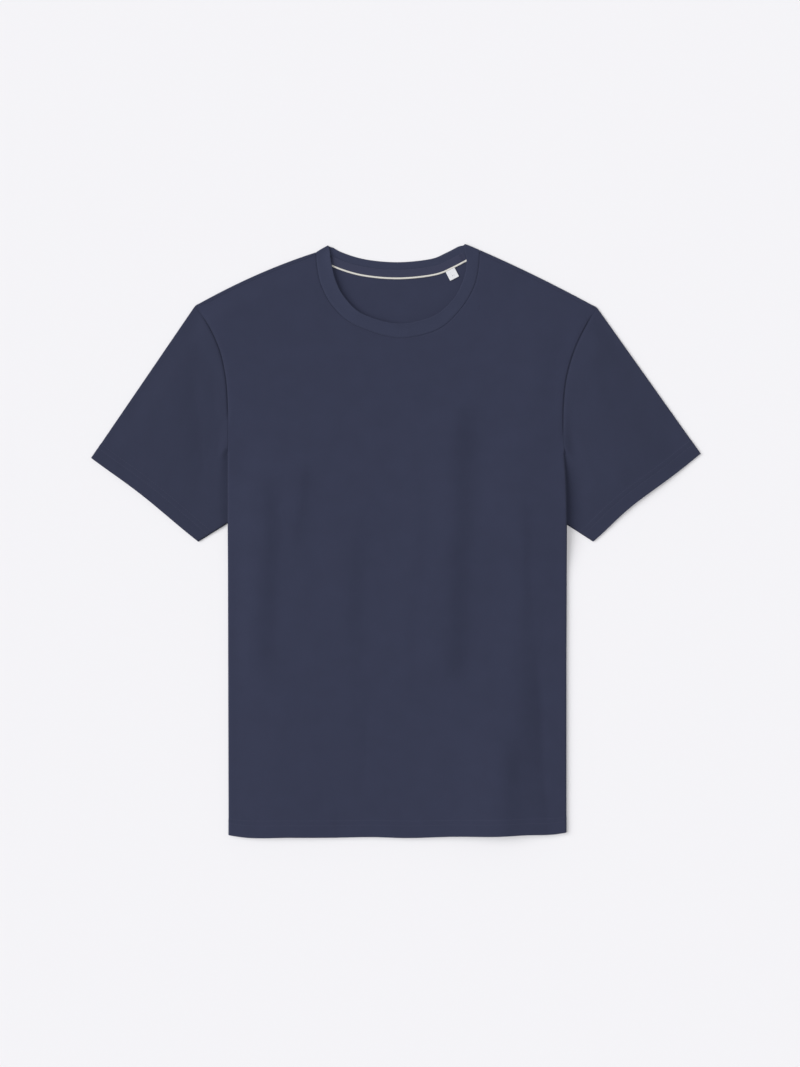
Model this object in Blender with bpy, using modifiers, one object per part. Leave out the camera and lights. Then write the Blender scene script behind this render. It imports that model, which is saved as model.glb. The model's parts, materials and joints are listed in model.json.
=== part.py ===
"""Crew neck t-shirt, men's M, laid flat on its back with both sides folded under the body.

Metres, +Z up. X runs across the shirt and Y from the hem to the neck, with the origin under
the middle of the shirt on the surface that it lies on. Heights in the tables are measured up
the shirt from the hem, and half widths from its centre line.

Each piece of cloth is a grid of points on the middle of its wall, made a closed wall by
Solidify. Every layer follows the same columns and rows, so layers stay one seam gap apart:

    body     back panel below, front panel above; both turn under at the sides, and the turned
             flaps lie beneath the body, the front's flap lowest, up to the side seam
    sleeves  one piece folded along its top edge, its inner end tucked beneath the body's flap
    neck     a rib ring that turns over at the two neck corners, with a tape, an edging and a
             size label on the inside of the back
"""

import math
from dataclasses import dataclass

import bmesh
import bpy
import numpy as np
from mathutils import Vector

CLOTH = 0.0010  # wall of every piece of cloth
SEAM_GAP = 0.0003  # between pieces at a seam, and between layers that lie on each other
PLY = CLOTH + SEAM_GAP  # rise from one layer to the next

MIDDLE_HEIGHT = 0.3635  # half of the height from the hem to the neck corners
FOLD_TOP = 0.474  # height where the side starts to turn under, at the foot of the armhole
UNDERARM_HEIGHT = 0.421  # where the side seam meets the armhole and the sleeve's own seam
SLEEVE_TUCK_HEIGHT = 0.385  # where the sleeve's lower edge goes in beneath the body
FLAP_WIDTH = 0.058  # cloth turned under at each side, from the fold to the side seam
TURN_LENGTH = 0.016  # height over which the side goes from flat to turned right under
LEAST_FLAP = 0.2  # of FOLD_REACH: how far the cloth beyond the fold runs on at the least
FLAT_FACETS = 0.4  # of FOLD_REACH: how far the fold's facets spread where the cloth isn't turned
STRAIGHT_TOP = 0.540  # rows are level up to here, and fan out to the top edge above it
# the shoulder seam lies this far inside the outline, at its two ends and between them
SHOULDER_SEAM = (0.0028, 0.0045)
SHOULDER_SEAM_SPREAD = 0.12  # share of the shoulder over which it gets from one to the other
LIFT_RAMP_ALONG = 0.065  # how gently the body comes down off the tucked layers, up and down
LIFT_RAMP_ACROSS = 0.055  # and towards the centre
LIFT_MARGIN = 0.012  # the body stays lifted this far past the edge of what lies beneath it
LIFT_HEIGHTS = (0.431, 0.519)  # the lifted ground narrows to nothing between these heights
HEM_RISE_HEIGHT = 0.060  # the uneven hem straightens out over this height

# height, half width on the left, half width on the right: the side fold up to FOLD_TOP, and
# the armhole seam from there to the shoulder point
HALF_WIDTHS = (
    (0.0000, 0.2048, 0.2085),
    (0.2000, 0.2053, 0.2085),
    (0.3850, 0.2057, 0.2085),
    (0.4400, 0.2057, 0.2075),
    (0.4740, 0.2057, 0.2058),
    (0.5250, 0.2057, 0.2048),
    (0.5660, 0.2088, 0.2093),
    (0.6000, 0.2170, 0.2195),
    (0.6345, 0.2345, 0.2365),
    (0.6500, 0.2461, 0.2461),
)
# across, rise of the hem's edge above its lowest point
HEM_LINE = (
    (-0.2060, 0.0035),
    (-0.1900, 0.0010),
    (-0.1300, 0.0003),
    (-0.0750, 0.0003),
    (-0.0300, 0.0011),
    (0.0120, 0.0000),
    (0.0700, 0.0018),
    (0.1200, 0.0022),
    (0.1600, 0.0036),
    (0.1950, 0.0044),
    (0.2090, 0.0066),
)
# the neck rib from its left fold to its right one: where its seam lies, and its free edge
FRONT_RIB = (
    ((-0.0979, 0.7162), (-0.0818, 0.7255)),
    ((-0.0965, 0.7000), (-0.0790, 0.7030)),
    ((-0.0915, 0.6765), (-0.0733, 0.6805)),
    ((-0.0770, 0.6500), (-0.0625, 0.6605)),
    ((-0.0500, 0.6275), (-0.0405, 0.6405)),
    ((0.0020, 0.6116), (0.0020, 0.6288)),
    ((0.0500, 0.6210), (0.0425, 0.6365)),
    ((0.0785, 0.6460), (0.0665, 0.6545)),
    ((0.0950, 0.6730), (0.0793, 0.6750)),
    ((0.1010, 0.6970), (0.0863, 0.7010)),
    ((0.1022, 0.7190), (0.0826, 0.7270)),
)
BACK_RIB = (
    ((-0.0979, 0.7162), (-0.0818, 0.7255)),
    ((-0.0738, 0.7018), (-0.0661, 0.7163)),
    ((-0.0392, 0.6914), (-0.0367, 0.7076)),
    ((0.0024, 0.6882), (0.0024, 0.7043)),
    ((0.0457, 0.6928), (0.0416, 0.7081)),
    ((0.0682, 0.7008), (0.0612, 0.7157)),
    ((0.1022, 0.7190), (0.0826, 0.7270)),
)
# on the inside of the back neck, measured down from the rib's free edge
TAPE_TOP, TAPE_BOTTOM = 0.0092, 0.0186
EDGING_TOP, EDGING_BOTTOM = 0.0189, 0.0213
TAPE_ENDS = (-0.0746, 0.0822)  # the tape and its edging stop where the front rib covers them
TAPE_LINES = 19  # cross lines along the tape
LABEL_PLACE = 0.0567  # where the size label hangs, across
LABEL_SIZE = 0.0122
BACK_NECK_SPAN = (0.02, 0.98)  # the part of the back rib that the tape is placed along
DIRECTION_STEP = 0.01  # share of the rib over which its direction is measured

# the columns between the centre line and the neck corner, and on to the shoulder point
NECK_SHARES = (0.0, 0.11, 0.22, 0.33, 0.43, 0.53, 0.62, 0.70, 0.77, 0.835, 0.89, 0.935, 0.965, 0.985)
SHOULDER_STEPS = 6
TURN_STEPS = 6  # facets round each fold
LEVEL_ROWS = (
    0.000, 0.006, 0.021, 0.080, 0.150, 0.220, 0.280, 0.320, 0.340, 0.358, 0.373, 0.387, 0.403,
    0.421, 0.436, 0.448, 0.454, 0.458, 0.462, 0.466, 0.470, 0.474, 0.486, 0.502, 0.520, STRAIGHT_TOP,
)
FAN_SHARES = (0.2, 0.4, 0.57, 0.72, 0.85, 0.94, 1.0)
SLEEVE_SHARES = (0.0, 0.25, 0.55, 0.83, 1.0)
HIDDEN_SHARES = (0.15, 0.35, 0.55, 0.78, 1.0)  # down the sleeve's tucked end
RIB_ROWS = (0.0, 0.5, 1.0)
RIB_FOLD_CLEARANCE = 0.012  # no cross line of the rib lies nearer to its folds than this share
RIB_SAMPLES = 200  # places along the rib at which its crossing with a column is looked for


@dataclass(frozen=True)
class Side:
    """The measures of one side of the shirt. Distances across are from the centre line."""

    name: str
    sign: int
    column: int  # of HALF_WIDTHS
    neck_corner: tuple
    shoulder_point: tuple
    shoulder_bulge: float
    cuff_top: tuple
    cuff_bottom: tuple
    cuff_bow: tuple  # how far the cuff's edge bows inwards, and at which share of its length most


LEFT = Side(
    name="left",
    sign=-1,
    column=1,
    neck_corner=(0.0979, 0.7162),
    shoulder_point=(0.2461, 0.6507),
    shoulder_bulge=0.0045,
    cuff_top=(0.3731, 0.4646),
    cuff_bottom=(0.2419, 0.3621),
    cuff_bow=(0.0023, 0.45),
)
RIGHT = Side(
    name="right",
    sign=1,
    column=2,
    neck_corner=(0.1022, 0.7190),
    shoulder_point=(0.2461, 0.6485),
    shoulder_bulge=0.0020,
    cuff_top=(0.3729, 0.4698),
    cuff_bottom=(0.2412, 0.3623),
    cuff_bow=(0.0035, 0.62),
)


@dataclass(frozen=True)
class Layer:
    """One panel of the body: how many layers lie beneath it, and the radius of its side fold."""

    level: int
    turn_radius: float
    rib: tuple


BACK = Layer(0, 0.5 * PLY, BACK_RIB)
FRONT = Layer(1, 1.5 * PLY, FRONT_RIB)
FOLD_REACH = FRONT.turn_radius + 0.5 * CLOTH  # from where the fold starts to the body's edge
SHOULDER_RADIUS = 0.5 * PLY
TOP_INSET = SHOULDER_RADIUS + 0.5 * CLOTH  # from the outline to where a fold along the top starts
CORNER_GAP = 0.0005  # between the panels' shoulders and the rib's folds
CORNER_DROP = 0.0016  # the back panel keeps this far below the rib where the rib folds
CORNER_DROP_SHARES = (0.90, 0.97)  # of the way to the neck corner, where that drop sets in
ARMHOLE_GAP = 0.0005  # between a sleeve and the body


@dataclass(frozen=True)
class Column:
    """A column of a panel's grid: its share of the way to the fold, then a count of the fold's facets."""

    side: Side
    share: float
    step: int = 0
    on_shoulder: bool = False


def smooth_step(start, end, value):
    """0 at start, 1 at end, with a smooth change between them."""
    t = min(max((value - start) / (end - start), 0.0), 1.0)
    return t * t * (3.0 - 2.0 * t)


def table_value(places, values, at):
    """A smooth curve through a table's rows, held level past its ends."""
    at = min(max(at, places[0]), places[-1])
    slopes = np.gradient(np.asarray(values), np.asarray(places))
    i = min(int(np.searchsorted(places, at, side="right")) - 1, len(places) - 2)
    span = places[i + 1] - places[i]
    t = (at - places[i]) / span
    ease = t * t * (3 - 2 * t)
    return (
        values[i] * (1 - ease)
        + values[i + 1] * ease
        + span * slopes[i] * t * (1 - t) ** 2
        - span * slopes[i + 1] * t * t * (1 - t)
    )


def half_width(side, height):
    """From the centre line to the side fold, or to the armhole seam above it."""
    if height > FOLD_TOP:
        stretch = (HALF_WIDTHS[-1][0] - FOLD_TOP) / (side.shoulder_point[1] - FOLD_TOP)
        height = FOLD_TOP + (height - FOLD_TOP) * stretch
    places = [row[0] for row in HALF_WIDTHS]
    return table_value(places, [row[side.column] for row in HALF_WIDTHS], height)


def flap_width(height):
    """How much cloth is turned under, which the armhole's curve narrows above the underarm."""
    share = (FOLD_TOP - height) / (FOLD_TOP - UNDERARM_HEIGHT)
    return FLAP_WIDTH * min(max(share, 0.0), 1.0) ** 2


def flap_lift(side, across, height):
    """How far the flap's two layers lift the body above them."""
    width = FLAP_WIDTH * smooth_step(LIFT_HEIGHTS[1], LIFT_HEIGHTS[0], height)
    edge = half_width(side, height) - width - LIFT_MARGIN
    over_flap = smooth_step(edge - LIFT_RAMP_ACROSS, edge, across)
    return 2 * PLY * over_flap * smooth_step(FOLD_TOP + LIFT_RAMP_ALONG, FOLD_TOP, height)


def sleeve_lift(side, across, height):
    """How far the tucked end of the sleeve lifts the layers of the body above it."""
    low = SLEEVE_TUCK_HEIGHT - LIFT_RAMP_ALONG
    return flap_lift(side, across, height) * smooth_step(low, SLEEVE_TUCK_HEIGHT, height)


def hem_rise(across, height):
    """The hem's edge isn't quite straight, and rises a little at the folded corners."""
    rise = table_value([row[0] for row in HEM_LINE], [row[1] for row in HEM_LINE], across)
    return rise * smooth_step(HEM_RISE_HEIGHT, 0.0, height)


def rib_point(rib, t):
    """The seam and the free edge of the neck rib at t, from 0 at its left fold to 1 at its right one."""
    rows = np.asarray(rib, float)
    places = list(np.linspace(0.0, 1.0, len(rows)))
    found = [[table_value(places, list(rows[:, e, a]), t) for a in (0, 1)] for e in (0, 1)]
    return np.array(found[0]), np.array(found[1])


def shoulder_point(side, t, inset):
    """A point inside the shoulder's outline, from the neck corner at 0 to the shoulder point at 1."""
    start = np.array(side.neck_corner) + (CORNER_GAP, 0.0)
    end = np.array(side.shoulder_point)
    inward = shoulder_inward(side, t)
    place = start + (end - start) * t + (0.0, 4 * side.shoulder_bulge * t * (1 - t))
    return place + inward * inset


def shoulder_inward(side, t):
    """The direction from the shoulder's outline into the body, as (across, height)."""
    start, end = np.array(side.neck_corner), np.array(side.shoulder_point)
    along = end - start + (0.0, 4 * side.shoulder_bulge * (1 - 2 * t))
    along /= np.hypot(*along)
    return np.array((along[1], -along[0]))


def seam_inset(t):
    """How far inside the outline the shoulder seam lies."""
    ends, between = SHOULDER_SEAM
    return ends + (between - ends) * smooth_step(0.0, SHOULDER_SEAM_SPREAD, min(t, 1.0 - t))


def share_of(side, across, height):
    """Which share of the width a place lies at."""
    return across / (half_width(side, height) - FOLD_REACH)


def corner_share(side):
    """The share at which the neck ends and the shoulder starts."""
    across, height = np.array(side.neck_corner) + (CORNER_GAP, 0.0)
    return share_of(side, across, height)


def neck_t(layer, side, share):
    """Where on the rib a column meets it."""
    ts = np.linspace(0.5, 0.5 + 0.5 * side.sign, RIB_SAMPLES)
    seams = [rib_point(layer.rib, t)[0] for t in ts]
    shares = [share_of(side, side.sign * x, h) for x, h in seams]
    return float(np.interp(share, np.maximum.accumulate(shares), ts))


def panel_columns():
    """The columns of both body panels, from the left flap's end to the right one's."""
    columns = []
    for side in (LEFT, RIGHT):
        corner = corner_share(side)
        own = [Column(side, share * corner) for share in NECK_SHARES]
        shares = [corner + (1 - corner) * i / SHOULDER_STEPS for i in range(SHOULDER_STEPS + 1)]
        own += [Column(side, share, 0, True) for share in shares]
        own += [Column(side, 1.0, step, True) for step in range(1, TURN_STEPS + 2)]
        columns += own[::-1] if side is LEFT else own[1:]
    return columns


def column_top(column, layer):
    """The height at which a column ends, and its distance across there."""
    side = column.side
    if not column.on_shoulder:
        seam, edge = rib_point(layer.rib, neck_t(layer, side, column.share))
        outward = (seam - edge) / np.hypot(*(seam - edge))
        across, height = seam + outward * SEAM_GAP
        if layer is BACK:
            start, end = (share * corner_share(side) for share in CORNER_DROP_SHARES)
            height -= CORNER_DROP * smooth_step(start, end, column.share)
        return side.sign * across, height
    t = shoulder_share(column, layer)
    across, height = shoulder_point(side, t, seam_inset(t) if layer is FRONT else TOP_INSET)
    return min(across, half_width(side, height)), height


def shoulder_share(column, layer):
    """How far along the shoulder a column ends, from the neck corner at 0 to the shoulder point at 1."""
    side = column.side
    tip, height = side.shoulder_point
    start = side.neck_corner[0] + CORNER_GAP
    across = column.share * (tip - FOLD_REACH)
    if column.step:
        across += fold_point(layer, height, column.step)[0]
    return max(across - start, 0.0) / (tip - start)


def turn_angle(height):
    """How far the side has turned under: nothing above the fold, half a turn below it."""
    return math.pi * smooth_step(FOLD_TOP, FOLD_TOP - TURN_LENGTH, height)


def fold_point(layer, height, step):
    """How far out and down a point round the side fold lies from where the fold starts."""
    angle, radius = turn_angle(height), layer.turn_radius
    turned = radius * angle
    least = FOLD_REACH * (1 - (1 - LEAST_FLAP) * angle / math.pi)
    flat = max(flap_width(height) - FOLD_REACH, least)
    along = max(turned, FLAT_FACETS * FOLD_REACH) * min(step, TURN_STEPS) / TURN_STEPS
    if step > TURN_STEPS:
        along = turned + flat
    if along <= turned:
        return radius * math.sin(along / radius), radius * (1 - math.cos(along / radius))
    rest = along - turned
    out = radius * math.sin(angle) + rest * math.cos(angle)
    return out, radius * (1 - math.cos(angle)) + rest * math.sin(angle)


def panel_point(column, layer, height):
    """The middle of a panel's wall where a column crosses a height."""
    side = column.side
    start = half_width(side, height) - FOLD_REACH
    across = column.share * start
    level = 0.5 * CLOTH + layer.level * PLY
    level += sleeve_lift(side, across, height) + flap_lift(side, across, height)
    if column.step:
        out, down = fold_point(layer, height, column.step)
        across, level = start + out, level - down
    x = side.sign * across
    return placed(x, height + hem_rise(x, height), level)


def placed(x, height, level):
    """A point in the shirt's own frame."""
    return Vector((x, height - MIDDLE_HEIGHT, level))


def panel_rows(layer):
    """A body panel's points: level rows, then rows that fan out to its neck and shoulders."""
    columns = panel_columns()
    tops = [column_top(column, layer) for column in columns]
    rows = [[panel_point(column, layer, height) for column in columns] for height in LEVEL_ROWS]
    for share in FAN_SHARES[:-1]:
        heights = [STRAIGHT_TOP + (top - STRAIGHT_TOP) * share for _, top in tops]
        rows.append([panel_point(column, layer, at) for column, at in zip(columns, heights)])
    level = 0.5 * CLOTH + layer.level * PLY
    ends = zip(columns, tops)
    rows.append([placed(column.side.sign * across, top, level) for column, (across, top) in ends])
    return columns, rows


def shoulder_rows(columns, top_row):
    """The rows that bring the back panel over the shoulders to the front panel's level."""
    turns = [math.pi * i / TURN_STEPS for i in range(1, TURN_STEPS + 1)]
    places = [(math.sin(a), 1 - math.cos(a), 0.0) for a in turns] + [(0.0, 2.0, 1.0)]
    rows = []
    for out, up, beyond in places:
        row = []
        for column, point in zip(columns, top_row):
            t = shoulder_share(column, BACK)
            flat = seam_inset(t) - SEAM_GAP - TOP_INSET
            inward, down = (beyond * flat - out * SHOULDER_RADIUS) * shoulder_inward(column.side, t)
            across, height = column.side.sign * point.x + inward, point.y + MIDDLE_HEIGHT + down
            across = min(across, half_width(column.side, height))
            row.append(placed(column.side.sign * across, height, point.z + up * SHOULDER_RADIUS))
        rows.append(row)
    return rows


def wall(name, rows, material, keep=None, closed=False):
    """An object whose wall lies either side of a grid of points. keep says which cells are cloth."""
    mesh = bpy.data.meshes.new(name)
    build = bmesh.new()
    grid = [[build.verts.new(point) for point in row] for row in rows]
    pairs = list(zip(grid, grid[1:] + grid[:1] if closed else grid[1:]))
    for r, (lower, upper) in enumerate(pairs):
        for c in range(len(lower) - 1):
            if keep is not None and not keep(r, c):
                continue
            corners = (lower[c], lower[c + 1], upper[c + 1], upper[c])
            first = 1 if 2 * c < len(lower) - 1 else 0  # the diagonals mirror about the middle
            build.faces.new((corners[first], corners[first + 1], corners[(first + 2) % 4]))
            build.faces.new((corners[first], corners[(first + 2) % 4], corners[(first + 3) % 4]))
    loose = [vert for vert in build.verts if not vert.link_faces]
    bmesh.ops.delete(build, geom=loose, context="VERTS")
    build.to_mesh(mesh)
    build.free()
    mesh.materials.append(material)
    piece = bpy.data.objects.new(name, mesh)
    thicken = piece.modifiers.new("Wall", "SOLIDIFY")
    thicken.thickness = CLOTH
    thicken.offset = 0.0
    return piece


def body_panels(navy):
    """The front panel, and the back panel with its turn over the shoulders."""
    columns, rows = panel_rows(FRONT)
    front = wall("front_panel", rows, navy)
    columns, rows = panel_rows(BACK)
    flat_cells = len(rows) - 1
    rows += shoulder_rows(columns, rows[-1])

    def is_cloth(row, cell):
        return row < flat_cells or (columns[cell].on_shoulder and columns[cell + 1].on_shoulder)

    return [front, wall("back_panel", rows, navy, is_cloth)]


def armhole_line(side):
    """The sleeve's inner end: down the seam that shows, then beneath the body to the underarm."""
    tip = shoulder_point(side, 1.0, TOP_INSET)
    heights = [STRAIGHT_TOP + (tip[1] - STRAIGHT_TOP) * share for share in reversed(FAN_SHARES)]
    heights += [height for height in reversed(LEVEL_ROWS) if height >= FOLD_TOP]
    points = [(half_width(side, height) + ARMHOLE_GAP, height) for height in heights]
    for share in HIDDEN_SHARES:
        height = FOLD_TOP - (FOLD_TOP - UNDERARM_HEIGHT) * share
        points.append((half_width(side, height) - flap_width(height), height))
    return [np.array(point) for point in points]


def cuff_line(side, inner, outward):
    """The cuff's edge, which bows inwards, with a point for each of the inner end's."""
    lengths = np.cumsum([0.0] + [np.hypot(*(b - a)) for a, b in zip(inner, inner[1:])])
    start, end = np.array(side.cuff_top) - outward * TOP_INSET, np.array(side.cuff_bottom)
    along = (end - start) / np.hypot(*(end - start))
    depth, deepest = side.cuff_bow
    power = math.log(0.5) / math.log(deepest)
    line = []
    for share in lengths / lengths[-1]:
        bow = depth * math.sin(math.pi * share**power) ** 2
        line.append(start + (end - start) * share + bow * np.array((along[1], -along[0])))
    return line


def sleeve(side, navy):
    """A sleeve folded flat along its top edge, with its seam below and its cuff open."""
    inner = armhole_line(side)
    along = np.array(side.cuff_top) - np.array(side.shoulder_point)
    along /= np.hypot(*along)
    outward = np.array((-along[1], along[0]))
    outer = cuff_line(side, inner, outward)
    turns = [math.pi * i / TURN_STEPS for i in range(1, TURN_STEPS)]
    rows = []
    for share in SLEEVE_SHARES:
        line = [a + (b - a) * share for a, b in zip(inner, outer)]
        front = [(place, 0.5 * CLOTH + PLY) for place in reversed(line)]
        fold = []
        for angle in turns:
            place = line[0] + outward * SHOULDER_RADIUS * math.sin(angle)
            fold.append((place, 0.5 * CLOTH + SHOULDER_RADIUS * (1 + math.cos(angle))))
        back = [(place, 0.5 * CLOTH) for place in line]
        rows.append([placed(side.sign * p[0], p[1], z) for p, z in front + fold + back])
    return wall(f"sleeve_{side.name}", rows, navy)


def rib_stations(layer):
    """Where the rib's cross lines lie: at the panel's own columns, so that the two keep their gap."""
    columns = [column for column in panel_columns() if not column.on_shoulder]
    ts = [neck_t(layer, column.side, column.share) for column in columns]
    return [0.0] + [t for t in ts if RIB_FOLD_CLEARANCE < t < 1 - RIB_FOLD_CLEARANCE] + [1.0]


def neck_rib(navy):
    """The rib ring: its front half on top, its back half below, turned over at both neck corners."""
    turns = [math.pi * i / TURN_STEPS for i in range(1, TURN_STEPS)]
    lines = []
    for layer, ts in ((FRONT, rib_stations(FRONT)), (BACK, rib_stations(BACK)[::-1])):
        level = 0.5 * CLOTH + layer.level * PLY
        for t in ts:
            seam, edge = rib_point(layer.rib, t)
            if t in (0.0, 1.0):
                seam, edge, outward = rib_fold(layer, t)
            lines.append((seam, edge, level))
        for angle in turns:
            reach = SHOULDER_RADIUS * math.sin(angle)
            rise = SHOULDER_RADIUS * math.cos(angle) * (1 if layer is FRONT else -1)
            level = 0.5 * CLOTH + SHOULDER_RADIUS + rise
            lines.append((seam + outward * reach, edge + outward * reach, level))
    rows = []
    for seam, edge, level in lines:
        places = [seam + (edge - seam) * share for share in RIB_ROWS]
        rows.append([placed(*place, level) for place in places])
    return wall("neckband", rows, navy, closed=True)


def rib_fold(layer, t):
    """The rib's fold line at a neck corner, inset so that the turn itself reaches the outline."""
    seam, edge = rib_point(layer.rib, t)
    along = (edge - seam) / np.hypot(*(edge - seam))
    outward = np.array((-along[1], along[0])) if t == 0.0 else np.array((along[1], -along[0]))
    inset = outward * TOP_INSET
    return seam + along * CORNER_GAP - inset, edge - inset, outward


def back_neck_frame(t):
    """A point on the back rib's free edge, and the directions down from it and along it."""
    before = rib_point(BACK_RIB, t - DIRECTION_STEP)[1]
    after = rib_point(BACK_RIB, t + DIRECTION_STEP)[1]
    along = (after - before) / np.hypot(*(after - before))
    return rib_point(BACK_RIB, t)[1], np.array((along[1], -along[0])), along


def neck_strip(name, top, bottom, material):
    """A strip that follows the back neck between two distances from the rib's free edge."""
    ts = np.linspace(*BACK_NECK_SPAN, RIB_SAMPLES)
    frames = [back_neck_frame(t) for t in ts]
    across = [(edge + down * 0.5 * (top + bottom))[0] for edge, down, _ in frames]
    stations = np.interp(np.linspace(*TAPE_ENDS, TAPE_LINES), across, ts)
    rows = []
    for t in stations:
        edge, down, _ = back_neck_frame(t)
        ends = (edge + down * top, edge + down * bottom)
        rows.append([placed(*end, 0.5 * CLOTH + PLY) for end in ends])
    return wall(name, rows, material)


def size_label(white):
    """The size label: a folded tag that hangs from the edging on the inside of the back."""
    ts = np.linspace(0.5, BACK_NECK_SPAN[1], RIB_SAMPLES)
    across = [back_neck_frame(t)[0][0] for t in ts]
    edge, down, along = back_neck_frame(float(np.interp(LABEL_PLACE, across, ts)))
    start = edge + down * (EDGING_BOTTOM + 2 * SEAM_GAP)
    rows = []
    for share in (0.0, 0.5, 1.0):
        middle = start + down * LABEL_SIZE * share
        ends = (middle - along * 0.5 * LABEL_SIZE, middle + along * 0.5 * LABEL_SIZE)
        rows.append([placed(*end, 0.5 * CLOTH + PLY) for end in ends])
    return wall("size_label", rows, white)


def cloth_material(name, colour, roughness):
    """A Principled material for one kind of cloth."""
    material = bpy.data.materials.new(name)
    material.use_nodes = True
    shader = material.node_tree.nodes["Principled BSDF"]
    shader.inputs["Base Color"].default_value = (*colour, 1.0)
    shader.inputs["Roughness"].default_value = roughness
    shader.inputs["Metallic"].default_value = 0.0
    material.diffuse_color = (*colour, 1.0)
    return material


def main():
    """Clears the scene and makes the shirt's pieces."""
    for thing in list(bpy.data.objects):
        bpy.data.objects.remove(thing, do_unlink=True)
    jersey = cloth_material("navy_jersey", (0.040, 0.045, 0.080), 0.85)
    rib = cloth_material("navy_rib", (0.042, 0.048, 0.085), 0.85)
    tape = cloth_material("navy_tape", (0.048, 0.054, 0.093), 0.75)
    edging = cloth_material("cream_edging", (0.70, 0.64, 0.55), 0.70)
    white = cloth_material("white_label", (0.80, 0.80, 0.80), 0.60)
    pieces = body_panels(jersey)
    pieces += [sleeve(LEFT, jersey), sleeve(RIGHT, jersey), neck_rib(rib)]
    pieces += [
        neck_strip("neck_tape", TAPE_TOP, TAPE_BOTTOM, tape),
        neck_strip("neck_edging", EDGING_TOP, EDGING_BOTTOM, edging),
        size_label(white),
    ]
    shirt = bpy.data.collections.new("crew_neck_t_shirt")
    bpy.context.scene.collection.children.link(shirt)
    for piece in pieces:
        shirt.objects.link(piece)


if __name__ == "__main__":
    main()
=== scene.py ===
"""Looks of a crew neck t-shirt laid flat: cloth with its creases, hems, seams and sewing.

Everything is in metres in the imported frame: X across the shirt, Y from the hem to the neck, Z up
from the surface that it lies on. Heights are measured up the shirt from the hem.

Each piece of cloth is a fine grid of points on the middle of its wall, with an outer and an inner
surface that close round its edges. The shirt's plan comes from Pattern, the way that it lies from
Drape, and each sub-assembly builds its own walls and sewing from those two.
"""

from __future__ import annotations

import json
import logging
import math
from collections.abc import Sequence
from dataclasses import dataclass, field
from enum import Enum

import bpy
import numpy as np
from numpy.typing import NDArray
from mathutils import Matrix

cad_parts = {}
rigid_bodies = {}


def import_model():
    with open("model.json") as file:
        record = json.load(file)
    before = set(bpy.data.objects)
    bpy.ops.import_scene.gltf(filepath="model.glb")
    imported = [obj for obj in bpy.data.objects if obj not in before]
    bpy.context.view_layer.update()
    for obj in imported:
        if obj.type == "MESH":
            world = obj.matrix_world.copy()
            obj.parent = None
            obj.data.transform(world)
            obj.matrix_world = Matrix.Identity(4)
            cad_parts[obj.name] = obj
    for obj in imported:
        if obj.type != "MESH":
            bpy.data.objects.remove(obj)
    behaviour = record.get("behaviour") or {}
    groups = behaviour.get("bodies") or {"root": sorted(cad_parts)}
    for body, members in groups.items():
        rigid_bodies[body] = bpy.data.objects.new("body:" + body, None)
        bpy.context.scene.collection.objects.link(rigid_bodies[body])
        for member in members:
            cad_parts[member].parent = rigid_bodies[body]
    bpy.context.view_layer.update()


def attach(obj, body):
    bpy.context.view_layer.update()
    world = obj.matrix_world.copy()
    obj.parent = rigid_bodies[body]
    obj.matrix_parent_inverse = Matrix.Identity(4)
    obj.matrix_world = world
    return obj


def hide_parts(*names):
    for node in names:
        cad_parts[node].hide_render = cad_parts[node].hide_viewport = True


Array = NDArray[np.float64]
Indices = NDArray[np.int64]
Marks = NDArray[np.bool_]
Place = tuple[float, float]
Colour = tuple[float, float, float]
Threads = tuple[Array, Indices, Array]
Socket = bpy.types.NodeSocket

LOG = logging.getLogger("t_shirt")
# TINY keeps a length of nothing from dividing by 0, and FAR is farther than a seam is felt
TINY = 1e-12
FAR = 1.0
WHITE = (1.0, 1.0, 1.0)
SHEEN_ROUGHNESS = 0.6
SPECULAR_LEVEL = 0.25


class Flank(Enum):
    """The two sides of the shirt, seen from the front. The value is the sign of X."""

    LEFT = -1
    RIGHT = 1


class Ply(Enum):
    """The two halves of the shirt. The value is the number of layers beneath it."""

    BACK = 0
    FRONT = 1


class Slot(Enum):
    """The record's material slots."""

    JERSEY = "jersey"
    RIB = "rib"
    TAPE = "tape"
    EDGING = "edging"
    LABEL = "label"


# height, half width on the left, half width on the right: the side fold, then the armhole seam
HALF_WIDTHS = (
    (0.0000, 0.2048, 0.2085),
    (0.2000, 0.2053, 0.2085),
    (0.3850, 0.2057, 0.2085),
    (0.4400, 0.2057, 0.2075),
    (0.4740, 0.2057, 0.2058),
    (0.5250, 0.2057, 0.2048),
    (0.5660, 0.2088, 0.2093),
    (0.6000, 0.2170, 0.2195),
    (0.6345, 0.2345, 0.2365),
    (0.6500, 0.2461, 0.2461),
)
# across, rise of the hem's edge
HEM_LINE = (
    (-0.2060, 0.0035),
    (-0.1900, 0.0010),
    (-0.1300, 0.0003),
    (-0.0750, 0.0003),
    (-0.0300, 0.0011),
    (0.0120, 0.0000),
    (0.0700, 0.0018),
    (0.1200, 0.0022),
    (0.1600, 0.0036),
    (0.1950, 0.0044),
    (0.2090, 0.0066),
)
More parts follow.
